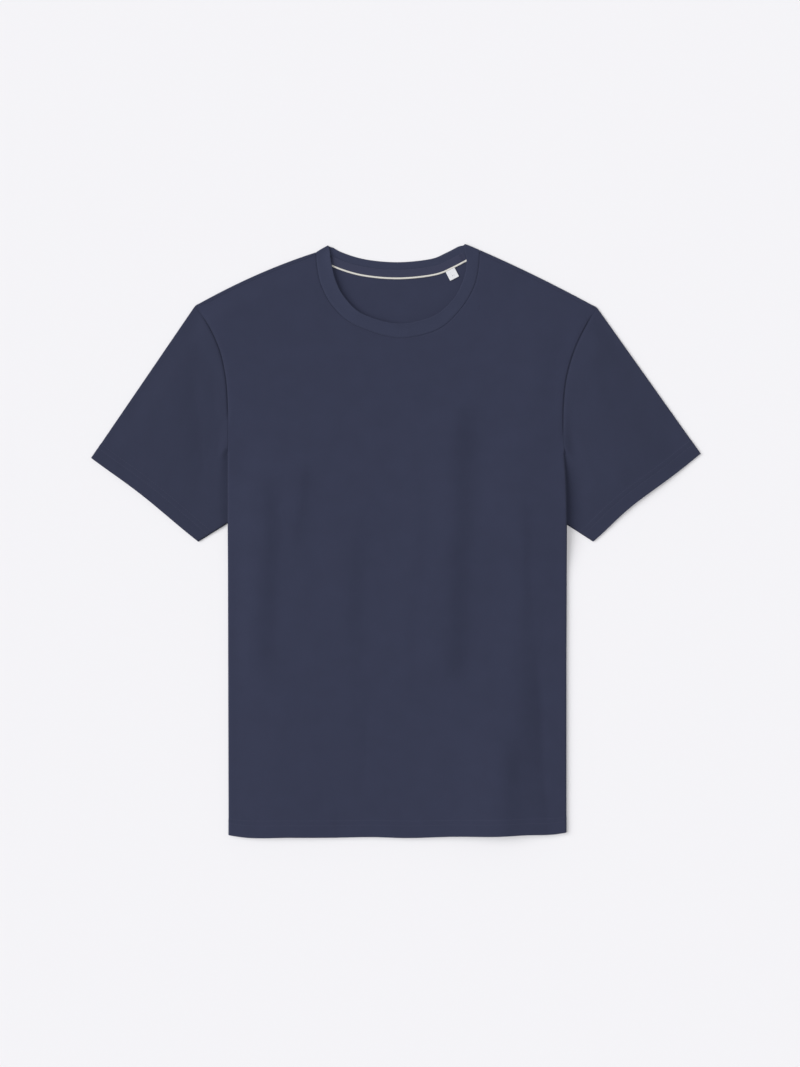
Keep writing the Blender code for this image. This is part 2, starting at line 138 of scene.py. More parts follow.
# the neck rib from its left fold to its right one: its seam, and its free edge
RIB_LINES = {
    Ply.FRONT: (
        ((-0.0979, 0.7162), (-0.0818, 0.7255)),
        ((-0.0965, 0.7000), (-0.0790, 0.7030)),
        ((-0.0915, 0.6765), (-0.0733, 0.6805)),
        ((-0.0770, 0.6500), (-0.0625, 0.6605)),
        ((-0.0500, 0.6275), (-0.0405, 0.6405)),
        ((0.0020, 0.6116), (0.0020, 0.6288)),
        ((0.0500, 0.6210), (0.0425, 0.6365)),
        ((0.0785, 0.6460), (0.0665, 0.6545)),
        ((0.0950, 0.6730), (0.0793, 0.6750)),
        ((0.1010, 0.6970), (0.0863, 0.7010)),
        ((0.1022, 0.7190), (0.0826, 0.7270)),
    ),
    Ply.BACK: (
        ((-0.0979, 0.7162), (-0.0818, 0.7255)),
        ((-0.0738, 0.7018), (-0.0661, 0.7163)),
        ((-0.0392, 0.6914), (-0.0367, 0.7076)),
        ((0.0024, 0.6882), (0.0024, 0.7043)),
        ((0.0457, 0.6928), (0.0416, 0.7081)),
        ((0.0682, 0.7008), (0.0612, 0.7157)),
        ((0.1022, 0.7190), (0.0826, 0.7270)),
    ),
}
# the creases: route down the shirt, widths at its ends, fall, and for some of them how far off the
# cloth is level again and the shares of the route over which the crease grows and fades
FRONT_CREASES = (
    # the left side
    (
        ((-0.161, 0.460), (-0.152, 0.385), (-0.155, 0.309), (-0.159, 0.237), (-0.160, 0.165)),
        (0.013, 0.015), 0.0105, 0.040, 0.2, 0.25,
    ),
    (((-0.108, 0.470), (-0.115, 0.400), (-0.122, 0.335)), (0.007, 0.008), 0.0034),
    # the middle
    (((-0.040, 0.400), (-0.046, 0.337), (-0.050, 0.280), (-0.055, 0.215)), (0.012, 0.014), 0.0048, 0.050),
    (
        ((0.086, 0.540), (0.084, 0.462), (0.080, 0.364), (0.076, 0.242), (0.072, 0.175)),
        (0.017, 0.019), 0.0130, 0.060, 0.15, 0.15,
    ),
    # the right side, from the armhole down to the hem
    (((0.196, 0.645), (0.188, 0.580), (0.190, 0.495)), (0.018, 0.016), 0.0060, 0.050, 0.35, 0.3),
    (((0.158, 0.430), (0.160, 0.330), (0.161, 0.240)), (0.004, 0.005), 0.0016, 0.030, 0.2, 0.2),
    (
        ((0.160, 0.300), (0.167, 0.190), (0.181, 0.080), (0.195, -0.030)),
        (0.005, 0.056), 0.0320, 0.115, 0.9, 0.12,
    ),
    (((0.143, 0.150), (0.141, 0.070), (0.140, -0.030)), (0.012, 0.016), 0.0090, 0.042, 0.45, 0.1),
    # small ones above the hem
    (((-0.035, 0.200), (-0.040, 0.120), (-0.048, 0.040)), (0.005, 0.005), 0.0010, 0.018),
    (((-0.075, 0.060), (-0.073, -0.020)), (0.004, 0.004), 0.0008, 0.012, 0.5, 0.1),
    (((0.003, 0.070), (0.000, -0.020)), (0.004, 0.004), 0.0008, 0.012, 0.5, 0.1),
    (((0.036, 0.050), (0.037, -0.020)), (0.004, 0.004), 0.0006, 0.012, 0.5, 0.1),
    # the sleeves
    (((-0.258, 0.610), (-0.247, 0.510), (-0.224, 0.400)), (0.026, 0.018), 0.0056, 0.080),
    (
        ((0.241, 0.612), (0.256, 0.555), (0.286, 0.505), (0.352, 0.455)),
        (0.016, 0.020), 0.0052, 0.055, 0.2, 0.15,
    ),
)
BACK_CREASES = (
    (((-0.110, 0.480), (-0.104, 0.360), (-0.112, 0.220)), (0.008, 0.008), 0.0012),
    (((0.020, 0.520), (0.030, 0.380), (0.018, 0.240), (0.024, 0.110)), (0.008, 0.008), 0.0014),
    (((0.120, 0.420), (0.111, 0.290), (0.118, 0.120)), (0.009, 0.009), 0.0012),
    (((-0.040, 0.300), (-0.050, 0.170), (-0.046, 0.030)), (0.007, 0.007), 0.0012),
)
# the cloth's slight unevenness: weight, then two waves that are multiplied, each as its radians a
# metre across the shirt and up it, and its start
RIPPLES = (
    (1.0, (61.0, 23.0, 0.7), (17.0, -41.0, 0.0)),
    (0.6, (103.0, -37.0, 2.1), (29.0, 67.0, 1.3)),
)


@dataclass(frozen=True)
class FlankSizes:
    """The measures of one side. Places are (distance from the centre line, height).

    cuff_bow holds how deep the cuff's edge bows inwards, and where along it. armpit_puff holds how
    far the body's side puffs up at its fold, and further in. tuck_ridge is how far the sleeve's
    tucked end raises the sleeve beside that fold.
    """

    neck_corner: Place
    shoulder_point: Place
    shoulder_bulge: float
    cuff_top: Place
    cuff_bottom: Place
    cuff_bow: Place
    armpit_puff: Place
    tuck_ridge: float = 0.0


FLANK_SIZES = {
    Flank.LEFT: FlankSizes(
        neck_corner=(0.0979, 0.7162),
        shoulder_point=(0.2461, 0.6507),
        shoulder_bulge=0.0045,
        cuff_top=(0.3731, 0.4646),
        cuff_bottom=(0.2419, 0.3621),
        cuff_bow=(0.0023, 0.45),
        armpit_puff=(0.0000, 0.0010),
        tuck_ridge=0.0030,
    ),
    Flank.RIGHT: FlankSizes(
        neck_corner=(0.1022, 0.7190),
        shoulder_point=(0.2461, 0.6485),
        shoulder_bulge=0.0020,
        cuff_top=(0.3729, 0.4698),
        cuff_bottom=(0.2412, 0.3623),
        cuff_bow=(0.0035, 0.62),
        armpit_puff=(0.0060, 0.0058),
    ),
}


def smooth_step(start: float, end: float | Array, value: Array) -> Array:
    """Changes smoothly from 0 at start to 1 at end.

    Args:
        start: Where the change begins.
        end: Where the change ends, which may be below start.
        value: The values to map.

    Returns:
        The mapped values, from 0 to 1.
    """
    t = np.clip((np.asarray(value, float) - start) / (end - start), 0.0, 1.0)
    return t * t * (3.0 - 2.0 * t)


def table_curve(places: Sequence[float], values: Sequence[float], at: Array) -> Array:
    """Reads a smooth curve through a table's rows, held level past its ends.

    Args:
        places: The rows' places, rising.
        values: The rows' values.
        at: Where to read the curve.

    Returns:
        The curve's values.
    """
    rows, known = np.asarray(places, float), np.asarray(values, float)
    at = np.clip(np.asarray(at, float), rows[0], rows[-1])
    slopes = np.gradient(known, rows)
    i = np.clip(np.searchsorted(rows, at, side="right") - 1, 0, len(rows) - 2)
    span = rows[i + 1] - rows[i]
    t = (at - rows[i]) / span
    ease = t * t * (3.0 - 2.0 * t)
    bend = span * t * (1.0 - t) * (slopes[i] * (1.0 - t) - slopes[i + 1] * t)
    return known[i] * (1.0 - ease) + known[i + 1] * ease + bend


def smooth_route(knots: Array, t: Array) -> Array:
    """Reads a smooth route through evenly shared knots, (n, 2), at shares of its way."""
    known = np.linspace(0.0, 1.0, len(knots))
    return np.stack([table_curve(known, knots[:, axis], t) for axis in (0, 1)], axis=-1)


def distance_to(route: Array, places: Array) -> Array:
    """Measures how far places lie from a route.

    Args:
        route: The route's points, (n, 2).
        places: The places, (..., 2).

    Returns:
        The shortest distance of each place, without the last axis.
    """
    flat = places.reshape(-1, 2)
    nearest = np.full(len(flat), np.inf)
    for start, end in zip(route, route[1:]):
        along = end - start
        share = np.clip((flat - start) @ along / max(float(along @ along), TINY), 0.0, 1.0)
        gap = flat - start - share[:, None] * along
        nearest = np.minimum(nearest, np.einsum("ij,ij->i", gap, gap))
    return np.sqrt(nearest).reshape(places.shape[:-1])


def rounding(distance: Array, radius: float) -> Array:
    """Gives the share of its thickness that a wall has at a distance from its rounded edge."""
    return np.sqrt(1.0 - (1.0 - np.clip(distance / radius, 0.0, 1.0)) ** 2)


def rounded_shares(count: int) -> Array:
    """Spaces shares from 0 to 1, closer at both ends."""
    return 0.5 - 0.5 * np.cos(np.linspace(0.0, math.pi, count))


def arc_lengths(points: Array) -> Array:
    """Gives the length along a line of points up to each of them."""
    steps = np.linalg.norm(np.diff(points, axis=0), axis=1)
    return np.concatenate([[0.0], np.cumsum(steps)])


def unit(vectors: Array) -> Array:
    """Scales vectors to a length of 1."""
    return vectors / np.linalg.norm(vectors, axis=-1, keepdims=True)


def right_of(along: Array) -> Array:
    """Turns directions in the plan to the ones square to them, on their right."""
    return np.stack([along[..., 1], -along[..., 0]], axis=-1)


@dataclass(frozen=True)
class Pattern:
    """The plan of the shirt as it lies, from its driving sizes."""

    wall: float = 0.0010
    gap: float = 0.0003
    seam_overlap: float = 0.00003
    middle_height: float = 0.3635
    # heights up the sides, where the body turns under itself, and the cloth that it turns under
    fold_top: float = 0.474
    underarm_height: float = 0.421
    tuck_height: float = 0.385
    straight_top: float = 0.540
    flap: float = 0.058
    turn_length: float = 0.016
    turn_least: float = 0.4
    flat_least: float = 0.2
    # how the flaps and the tucked ends of the sleeves lift the body
    ramp_along: float = 0.065
    ramp_across: float = 0.080
    lift_margin: float = 0.012
    lift_heights: Place = (0.431, 0.519)
    tuck_reach: float = 0.030
    puff_heights: tuple[float, float, float, float] = (0.310, 0.392, 0.405, 0.474)
    puff_reach: float = 0.011
    puff_ramp: float = 0.120
    hem_rise_height: float = 0.060
    # how far in front of the shoulder line its seam lies: at its ends and between them
    shoulder_seam: Place = (0.00265, 0.00435)
    shoulder_seam_spread: float = 0.12
    corner_gap: float = 0.0005
    armhole_end: float = 0.004
    # where lines are read: first share, last share, number of places
    neck_readings: tuple[float, float, int] = (-0.1, 1.0, 180)
    shoulder_readings: tuple[float, float, int] = (-0.03, 1.03, 200)
    armhole_readings: int = 60
    neck_step: float = 0.0004
    corner_step: float = 0.0001
    # the outline runs on past the hem and the cuffs, so that neither holds the cloth down
    outline_foot: float = -0.05
    outline_readings: tuple[int, int] = (12, 8)
    past_cuff: Place = (0.5, 0.3)
    outline_end: float = 0.9

    @property
    def ply(self) -> float:
        """The rise from one layer to the next."""
        return self.wall + self.gap

    @property
    def fold_reach(self) -> float:
        """How far the side fold stands out from where it starts."""
        return 1.5 * self.ply + 0.5 * self.wall

    @property
    def turn_radius(self) -> float:
        """The radius of a single layer turned over another, on the middle of its wall."""
        return 0.5 * self.ply

    def fold_radius(self, ply: Ply) -> float:
        """The radius of the side fold, on the middle of a panel's wall."""
        return (0.5 + ply.value) * self.ply

    def middle_level(self, ply: Ply) -> float:
        """How high the middle of a panel's wall lies where nothing lifts it."""
        return 0.5 * self.wall + ply.value * self.ply

    def placed(self, flat: Array, level: Array) -> Array:
        """Puts places of the plan, as (x, height), at their levels in the frame."""
        level = np.broadcast_to(level, flat.shape[:-1])
        return np.stack([flat[..., 0], flat[..., 1] - self.middle_height, level], axis=-1)

    def half_width(self, flank: Flank, height: Array) -> Array:
        """Measures from the centre line to the side fold, or to the armhole seam above it.

        Args:
            flank: The side of the shirt.
            height: Heights above the hem.

        Returns:
            The half widths.
        """
        rows, left, right = zip(*HALF_WIDTHS)
        stretch = (rows[-1] - self.fold_top) / (FLANK_SIZES[flank].shoulder_point[1] - self.fold_top)
        above = np.maximum(np.asarray(height, float) - self.fold_top, 0.0)
        widths = left if flank is Flank.LEFT else right
        return table_curve(rows, widths, height + above * (stretch - 1.0))

    def flap_width(self, height: Array) -> Array:
        """Gives how much cloth is turned under at a height."""
        share = (self.fold_top - height) / (self.fold_top - self.underarm_height)
        return self.flap * np.clip(share, 0.0, 1.0) ** 2

    def over_flap(self, flank: Flank, across: Array, height: Array, reach: float) -> Array:
        """Gives how far the body has climbed onto the flap turned under it.

        Args:
            flank: The side of the shirt.
            across: Distances from the centre line.
            height: Heights above the hem.
            reach: How long the climb is.

        Returns:
            0 on the way to the flap and 1 over it.
        """
        width = self.flap * smooth_step(*self.lift_heights[::-1], height)
        edge = self.half_width(flank, height) - width - self.lift_margin
        return smooth_step(0.0, reach, across - edge + reach)

    def flap_lift(self, height: Array) -> Array:
        """Gives how far the flap, and the sleeve's tucked end under it, lift the body's side.

        Args:
            height: Heights above the hem.

        Returns:
            The lifts.
        """
        lift = 2.0 * self.ply * smooth_step(self.fold_top + self.ramp_along, self.fold_top, height)
        tucked = smooth_step(self.tuck_height - self.ramp_along, self.tuck_height, height)
        return lift * (1.0 + tucked * smooth_step(self.fold_top, self.fold_top - self.tuck_reach, height))

    def lift(self, flank: Flank, across: Array, height: Array) -> Array:
        """Gives how far both halves of the body are lifted, with the puff at the armpit.

        Args:
            flank: The side of the shirt.
            across: Distances from the centre line.
            height: Heights above the hem.

        Returns:
            The lifts.
        """
        inside = self.half_width(flank, height) - across
        at_fold, within = FLANK_SIZES[flank].armpit_puff
        start, full, fading, end = self.puff_heights
        puff = at_fold + (within - at_fold) * (1.0 - (1.0 - np.clip(inside / self.puff_reach, 0.0, 1.0)) ** 2)
        puff = puff * smooth_step(start, full, height) * smooth_step(end, fading, height)
        puff = puff * self.over_flap(flank, across, height, self.puff_ramp)
        return self.flap_lift(height) * self.over_flap(flank, across, height, self.ramp_across) + puff

    def fill(self, x: Array, height: Array) -> Array:
        """Gives how far the front half is held up between the flaps, level with its sides.

        Args:
            x: Places across the shirt.
            height: Heights above the hem.

        Returns:
            The rises.
        """
        left, right = (
            1.0 - self.over_flap(flank, flank.value * x, height, self.ramp_across) for flank in Flank
        )
        return self.flap_lift(height) * np.where(x < 0.0, left, right)

    def armhole_seam(self, flank: Flank) -> Array:
        """Reads the armhole seam that shows, from the shoulder down to the fold.

        Args:
            flank: The side of the shirt.

        Returns:
            Places, (n, 2) as (x, height).
        """
        top = FLANK_SIZES[flank].shoulder_point[1]
        heights = np.linspace(top, self.fold_top - self.armhole_end, self.armhole_readings)
        return np.stack([flank.value * self.half_width(flank, heights), heights], axis=1)

    def hem_rise(self, x: Array, height: Array) -> Array:
        """Gives how far the uneven hem lifts the cloth up the shirt near its edge."""
        return table_curve(*zip(*HEM_LINE), x) * smooth_step(self.hem_rise_height, 0.0, height)

    def rib(self, ply: Ply, t: Array) -> tuple[Array, Array]:
        """Reads the neck rib's two lines.

        Args:
            ply: The front or the back half of the rib.
            t: Shares of the way from the left fold to the right one.

        Returns:
            The seam's places and the free edge's, each (n, 2) as (x, height).
        """
        rows = np.array(RIB_LINES[ply])
        return smooth_route(rows[:, 0], t), smooth_route(rows[:, 1], t)

    def seam_inset(self, t: Array) -> Array:
        """Gives how far inside the outline the shoulder seam lies, at shares of its length."""
        ends, between = self.shoulder_seam
        return ends + (between - ends) * smooth_step(0.0, self.shoulder_seam_spread, np.minimum(t, 1.0 - t))

    def shoulder(self, flank: Flank, t: Array, inset: float | Array) -> Array:
        """Reads the shoulder line.

        Args:
            flank: The side of the shirt.
            t: Shares of the way from the neck corner to the shoulder point.
            inset: How far inside the outline the line lies.

        Returns:
            Places, (n, 2) as (distance from the centre line, height).
        """
        sizes = FLANK_SIZES[flank]
        start = np.array(sizes.neck_corner) + (self.corner_gap, 0.0)
        reach = np.array(sizes.shoulder_point) - start
        t = np.asarray(t, float)[:, None]
        bulge = 4.0 * sizes.shoulder_bulge
        place = start + reach * t + bulge * t * (1.0 - t) * (0.0, 1.0)
        along = reach + bulge * (1.0 - 2.0 * t) * (0.0, 1.0)
        return place + right_of(unit(along)) * np.broadcast_to(inset, len(t))[:, None]

    def neck_seam(self, ply: Ply, flank: Flank) -> Array:
        """Reads a panel's edge at the neck, from the centre line out to the corner.

        Args:
            ply: The panel.
            flank: The side of the shirt.

        Returns:
            Places, (n, 2) as (distance from the centre line, height).
        """
        seam, edge = self.rib(ply, 0.5 + 0.5 * flank.value * np.linspace(*self.neck_readings))
        line = seam + unit(seam - edge) * (self.gap / 2 - self.seam_overlap)
        line[:, 0] *= flank.value
        middle = (0.0, float(np.interp(0.0, line[:, 0], line[:, 1])))
        return np.concatenate([[middle], line[line[:, 0] > self.neck_step]])

    def top_line(self, ply: Ply, flank: Flank) -> tuple[Array, int]:
        """Gives a panel's top edge, from the centre line round the neck and along the shoulder.

        Args:
            ply: The panel.
            flank: The side of the shirt.

        Returns:
            Places, (n, 2) as (distance from the centre line, height), and the corner's index.
        """
        t = np.linspace(*self.shoulder_readings)
        inset = self.seam_inset(t) if ply is Ply.FRONT else self.turn_radius + 0.5 * self.wall
        neck = self.neck_seam(ply, flank)
        shoulder = self.shoulder(flank, t, inset)
        over = neck[:, 1] > np.interp(neck[:, 0], shoulder[:, 0], shoulder[:, 1])
        over &= neck[:, 0] > shoulder[0, 0]
        last = int(np.argmax(over)) if over.any() else len(neck)
        neck = neck[:last]
        shoulder = shoulder[shoulder[:, 0] > neck[-1, 0] + self.corner_step]
        return np.concatenate([neck, shoulder]), last

    def turn(self, ply: Ply, height: Array, q: Array) -> tuple[Array, Array, Array]:
        """Follows a panel round its side fold and on along the flap beneath.

        Args:
            ply: The panel.
            height: Heights above the hem.
            q: 0 where the fold starts, 1 where it ends, 2 at the side seam or the armhole seam.

        Returns:
            Distances out and down from where the fold starts, and the cloth left to the seam.
        """
        radius, reach = self.fold_radius(ply), self.fold_reach
        angle = math.pi * smooth_step(self.fold_top, self.fold_top - self.turn_length, height)
        turned = radius * angle
        least = reach * (1.0 - (1.0 - self.flat_least) * angle / math.pi)
        flat = np.maximum(self.flap_width(height) - reach, least)
        first = np.maximum(turned, self.turn_least * reach)
        along = first * np.minimum(q, 1.0) + (turned + flat - first) * np.maximum(q - 1.0, 0.0)
        on_turn = np.minimum(along, turned) / radius
        rest = np.maximum(along - turned, 0.0)
        out = radius * np.sin(on_turn) + rest * np.cos(angle)
        down = radius * (1.0 - np.cos(on_turn)) + rest * np.sin(angle)
        return out, down, turned + flat - along

    def outline(self, flank: Flank) -> Array:
        """Reads the line where both halves of one side meet and lie flat.

        Args:
            flank: The side of the shirt.

        Returns:
            Places, (n, 2) as (x, height).
        """
        sizes = FLANK_SIZES[flank]
        side_count, shoulder_count = self.outline_readings
        past_bottom, past_top = self.past_cuff
        heights = np.linspace(self.outline_foot, self.fold_top, side_count)
        side = np.stack([self.half_width(flank, heights), heights], axis=1)
        underarm = np.array((side[-1, 0], self.tuck_height))
        shoulder = self.shoulder(flank, np.linspace(1.0, 0.0, shoulder_count), 0.0)
        bottom, top = np.array(sizes.cuff_bottom), np.array(sizes.cuff_top)
        low, high = bottom + (bottom - underarm) * past_bottom, top + (top - shoulder[0]) * past_top
        far = [(self.outline_end, low[1]), (self.outline_end, high[1])]
        line = np.concatenate([side, [underarm, low, *far, high], shoulder])
        return line * (flank.value, 1.0)


@dataclass(frozen=True)
class Crease:
    """A soft fold, which falls away on the right of its route as that runs down the shirt.

    width is how wide the fall is at the route's ends, and reach is how far off the cloth is level
    again. The fold grows over the share start of its route and fades over the share end.
    """

    route: tuple[Place, ...]
    width: Place
    fall: float
    reach: float = 0.035
    start: float = 0.25
    end: float = 0.35
    readings: int = 25

    def height_at(self, places: Array) -> Array:
        """Gives the fold's rise at each place: above 0 on its left, below 0 on its right.

        Args:
            places: Places, (..., 2) as (x, height).

        Returns:
            The rises, without the last axis.
        """
        line = smooth_route(np.array(self.route), np.linspace(0.0, 1.0, self.readings))
        flat = places.reshape(-1, 2)
        nearest, share, side = np.full(len(flat), np.inf), np.zeros(len(flat)), np.ones(len(flat))
        for i, (start, end) in enumerate(zip(line, line[1:])):
            along = end - start
            s = np.clip((flat - start) @ along / float(along @ along), 0.0, 1.0)
            apart = flat - start - s[:, None] * along
            gap = np.linalg.norm(apart, axis=1)
            closer = gap < nearest
            share = np.where(closer, (i + s) / (len(line) - 1), share)
            side = np.where(closer, np.sign(along[0] * apart[:, 1] - along[1] * apart[:, 0]), side)
            nearest = np.minimum(nearest, gap)
        ends = smooth_step(0.0, self.start, share) * smooth_step(1.0, 1.0 - self.end, share)
        width = self.width[0] + (self.width[1] - self.width[0]) * share
        rise = 0.5 * self.fall * ends * side * (np.tanh(nearest / self.reach) - np.tanh(nearest / width))
        return rise.reshape(places.shape[:-1])


@dataclass(frozen=True)
class Drape:
    """How each half of the shirt rises off the flat: a low loft with soft creases in it."""

    pattern: Pattern
    # height up the shirt, loft of the front
    front_lofts: tuple[Place, ...] = ((0.0, 0.0012), (0.060, 0.0024), (0.720, 0.0024))
    hem_fill: float = 0.30
    hem_reach: float = 0.090
    back_loft: float = 0.0007
    loft_start: float = 0.003
    crease_reach: float = 0.030
    # the way from the edges to the full loft: at the hem and at the chest, and where it changes
    loft_reaches: Place = (0.070, 0.030)
    loft_heights: Place = (0.450, 0.600)
    sleeve_lofts: Place = (0.0006, 0.0036)
    sleeve_blend: float = 0.030
    # how deep the seams draw the front, and how far from them
    armhole_draw: Place = (0.0014, 0.0013)
    armhole_step: float = 0.0005
    step_reaches: Place = (0.0026, 0.030)
    draw_fade: Place = (0.002, 0.014)
    draw_foot: float = 0.008
    neck_draw: Place = (0.00045, 0.0012)
    neck_readings: tuple[float, float, int] = (0.04, 0.96, 90)
    # the neck's opening, round which the back lies flat
    neck_line: tuple[Place, Place] = ((-0.10, 0.72), (0.10, 0.72))
    neck_radius: float = 0.07
    neck_reach: float = 0.050
    unevenness: float = 0.00012
    front_creases: tuple[Crease, ...] = tuple(Crease(*row) for row in FRONT_CREASES)
    back_creases: tuple[Crease, ...] = tuple(Crease(*row) for row in BACK_CREASES)

    def _inside(self, places: Array) -> Array:
        """Measures from the outline, where the halves meet."""
        return np.minimum(*(distance_to(self.pattern.outline(flank), places) for flank in Flank))

    def _front_loft(self, places: Array) -> Array:
        """Gives how far the front half would rise without its creases.

        Args:
            places: Places on the body and the sleeves, (..., 2) as (x, height).

        Returns:
            The lofts.
        """
        loft = body = table_curve(*zip(*self.front_lofts), places[..., 1])
        for flank, sleeve in zip(Flank, self.sleeve_lofts):
            beyond = flank.value * places[..., 0] - self.pattern.half_width(flank, places[..., 1])
            loft = loft + (sleeve - body) * smooth_step(0.0, self.sleeve_blend, beyond)
        return loft

    def _ripple(self, places: Array) -> Array:
        """Gives the slight unevenness of cloth.

        Args:
            places: Places, (..., 2).

        Returns:
            Values from -1 to 1.
        """
        x, y = places[..., 0], places[..., 1]
        ripple = 0.0
        for weight, *waves in RIPPLES:
            first, second = (np.sin(across * x + up * y + phase) for across, up, phase in waves)
            ripple = ripple + weight * first * second
        return ripple / sum(weight for weight, *_ in RIPPLES)

    def back(self, places: Array) -> Array:
        """Gives how far the back half rises off the surface.

        Args:
            places: Places, (..., 2) as (x, height).

        Returns:
            The rises, never negative.
        """
        to_neck = distance_to(np.array(self.neck_line), places) - self.neck_radius
        shape = self.back_loft + sum(crease.height_at(places) for crease in self.back_creases)
        raised = np.maximum(shape + self.unevenness * self._ripple(places), 0.0)
        raised = raised * smooth_step(self.loft_start, self.crease_reach, self._inside(places))
        return raised * smooth_step(0.0, self.neck_reach, to_neck)

    def front(self, places: Array) -> Array:
        """Gives how far the front half rises off where it would lie flat.

        Args:
            places: Places, (..., 2) as (x, height).

        Returns:
            The rises, never less than the back's.
        """
        x, height, inside = places[..., 0], places[..., 1], self._inside(places)
        low, high = self.loft_reaches
        reach = high + (low - high) * smooth_step(*self.loft_heights[::-1], height)
        shape = self._front_loft(places) * smooth_step(self.loft_start, reach, inside)
        held = self.hem_fill + (1.0 - self.hem_fill) * smooth_step(0.0, self.hem_reach, height)
        shape += self.pattern.fill(x, height) * held
        folds = sum(crease.height_at(places) for crease in self.front_creases)
        folds = folds + self.unevenness * self._ripple(places[..., ::-1])
        shape += folds * smooth_step(self.loft_start, self.crease_reach, inside)
        return np.maximum(shape - self._drawn(places), 0.0) + self.back(places)

    def _drawn(self, places: Array) -> Array:
        """Gives how far the seams draw the front half down.

        Args:
            places: Places, (..., 2) as (x, height).

        Returns:
            The depths.
        """
        x, height = places[..., 0], places[..., 1]
        drawn = np.zeros(height.shape)
        depth, width = self.armhole_draw
        for flank in Flank:
            seam = self.pattern.armhole_seam(flank)
            top, foot = seam[0, 1], seam[-1, 1]
            body = flank.value * x < self.pattern.half_width(flank, height)
            fade = smooth_step(*(top - step for step in self.draw_fade), height)
            fade = fade * np.where(body, smooth_step(foot, foot + self.draw_foot, height), 1.0)
            away = distance_to(seam, places)
            drawn += depth * fade * np.exp(-((away / width) ** 2))
            drawn += self.armhole_step * fade * np.exp(-((away / np.where(body, *self.step_reaches)) ** 2))
        depth, width = self.neck_draw
        seam, _ = self.pattern.rib(Ply.FRONT, np.linspace(*self.neck_readings))
        return drawn + depth * np.exp(-((distance_to(seam, places) / width) ** 2))

    def rise(self, ply: Ply, places: Array) -> Array:
        """Gives the rise of either half of the shirt."""
        return self.front(places) if ply is Ply.FRONT else self.back(places)


@dataclass
class Wall:
    """A wall of cloth: the points on its middle, and the cloth on either side of them."""

    middle: Array
    above: Array
    below: Array
    cloth: Array
    facing: float = 1.0
    keep: Marks | None = None
    ring: bool = False

    def normals(self) -> Array:
        """Works out the wall's normals.

        Returns:
            A direction for each point, on the side that above measures to.
        """
        points = self.middle
        if self.ring:
            down = np.gradient(np.concatenate([points[-1:], points, points[:1]]), axis=0)[1:-1]
        else:
            down = np.gradient(points, axis=0)
        normal = np.cross(np.gradient(points, axis=1), down) * self.facing
        return normal / np.maximum(np.linalg.norm(normal, axis=-1, keepdims=True), TINY)

    def surface(self, side: float) -> Array:
        """Gives the points of the surface above the middle for a side of 1, or below it for -1."""
        reach = self.above if side > 0 else self.below
        return self.middle + side * self.normals() * reach[..., None]

    def mesh_object(self, name: str) -> bpy.types.Object:
        """Builds the closed wall.

        Args:
            name: The object's name.

        Returns:
            The new object, with each point's place in its cloth as the attribute "cloth".
        """
        rows, columns = self.middle.shape[:2]
        cells = np.ones((rows if self.ring else rows - 1, columns - 1), bool)
        if self.keep is not None:
            cells &= self.keep
        around = self._around(cells)
        used, inside = around.any(axis=0), around.all(axis=0)
        index = np.arange(rows * columns).reshape(rows, columns)
        lower_index = index.copy()
        lower_index[inside] = rows * columns + np.arange(int(inside.sum()))
        upper, lower = self.surface(1.0), self.surface(-1.0)
        top = np.where(inside[..., None], upper, self.middle).reshape(-1, 3)
        points = np.concatenate([top, lower[inside]])
        cloth = np.concatenate([self.cloth.reshape(-1, 2), self.cloth[inside]])
        faces = np.concatenate([self._quads(index, cells, False), self._quads(lower_index, cells, True)])
        kept = np.concatenate([used.reshape(-1), inside[inside]])
        number = np.cumsum(kept) - 1
        return mesh_object(name, points[kept], number[faces], cloth[kept])

    def _quads(self, index: Indices, cells: Marks, lower: bool) -> Indices:
        """Lists the quads of one surface, facing out.

        Args:
            index: The surface's vertex at each point of the wall.
            cells: Which cells are cloth.
            lower: Whether it is the surface below the middle.

        Returns:
            The quads, (n, 4).
        """
        after = np.roll(index, -1, axis=0) if self.ring else index[1:]
        here = index if self.ring else index[:-1]
        quads = np.stack([here[:, :-1], here[:, 1:], after[:, 1:], after[:, :-1]], axis=-1)[cells]
        return quads[:, ::-1] if lower != (self.facing < 0) else quads

    def _around(self, cells: Marks) -> Marks:
        """Looks at the four cells round each point.

        Args:
            cells: Which cells are cloth.

        Returns:
            Which of the four are cloth, (4, rows, columns).
        """
        wide = np.pad(cells, ((0, 0), (1, 1)))
        if self.ring:
            before, after = np.roll(wide, 1, axis=0), wide
        else:
            tall = np.pad(wide, ((1, 1), (0, 0)))
            before, after = tall[:-1], tall[1:]
        return np.stack([after[:, :-1], after[:, 1:], before[:, :-1], before[:, 1:]])


def mesh_object(name: str, points: Array, faces: Indices, cloth: Array) -> bpy.types.Object:
    """Makes a smooth mesh object.

    Args:
        name: The object's name.
        points: Its vertices, (n, 3).
        faces: Its faces, (m, 3 or 4) indices.
        cloth: Each vertex's place in its cloth, (n, 2), in metres.

    Returns:
        The object, linked to the scene.
    """
    mesh = bpy.data.meshes.new(name)
    mesh.from_pydata(points.tolist(), [], faces.tolist())
    mesh.validate()
    mesh.shade_smooth()
    attribute = mesh.attributes.new("cloth", "FLOAT_VECTOR", "POINT")
    values = np.zeros((len(points), 3), np.float32)
    values[:, :2] = cloth
    attribute.data.foreach_set("vector", values.ravel())
    made = bpy.data.objects.new(name, mesh)
    bpy.context.scene.collection.objects.link(made)
    return made


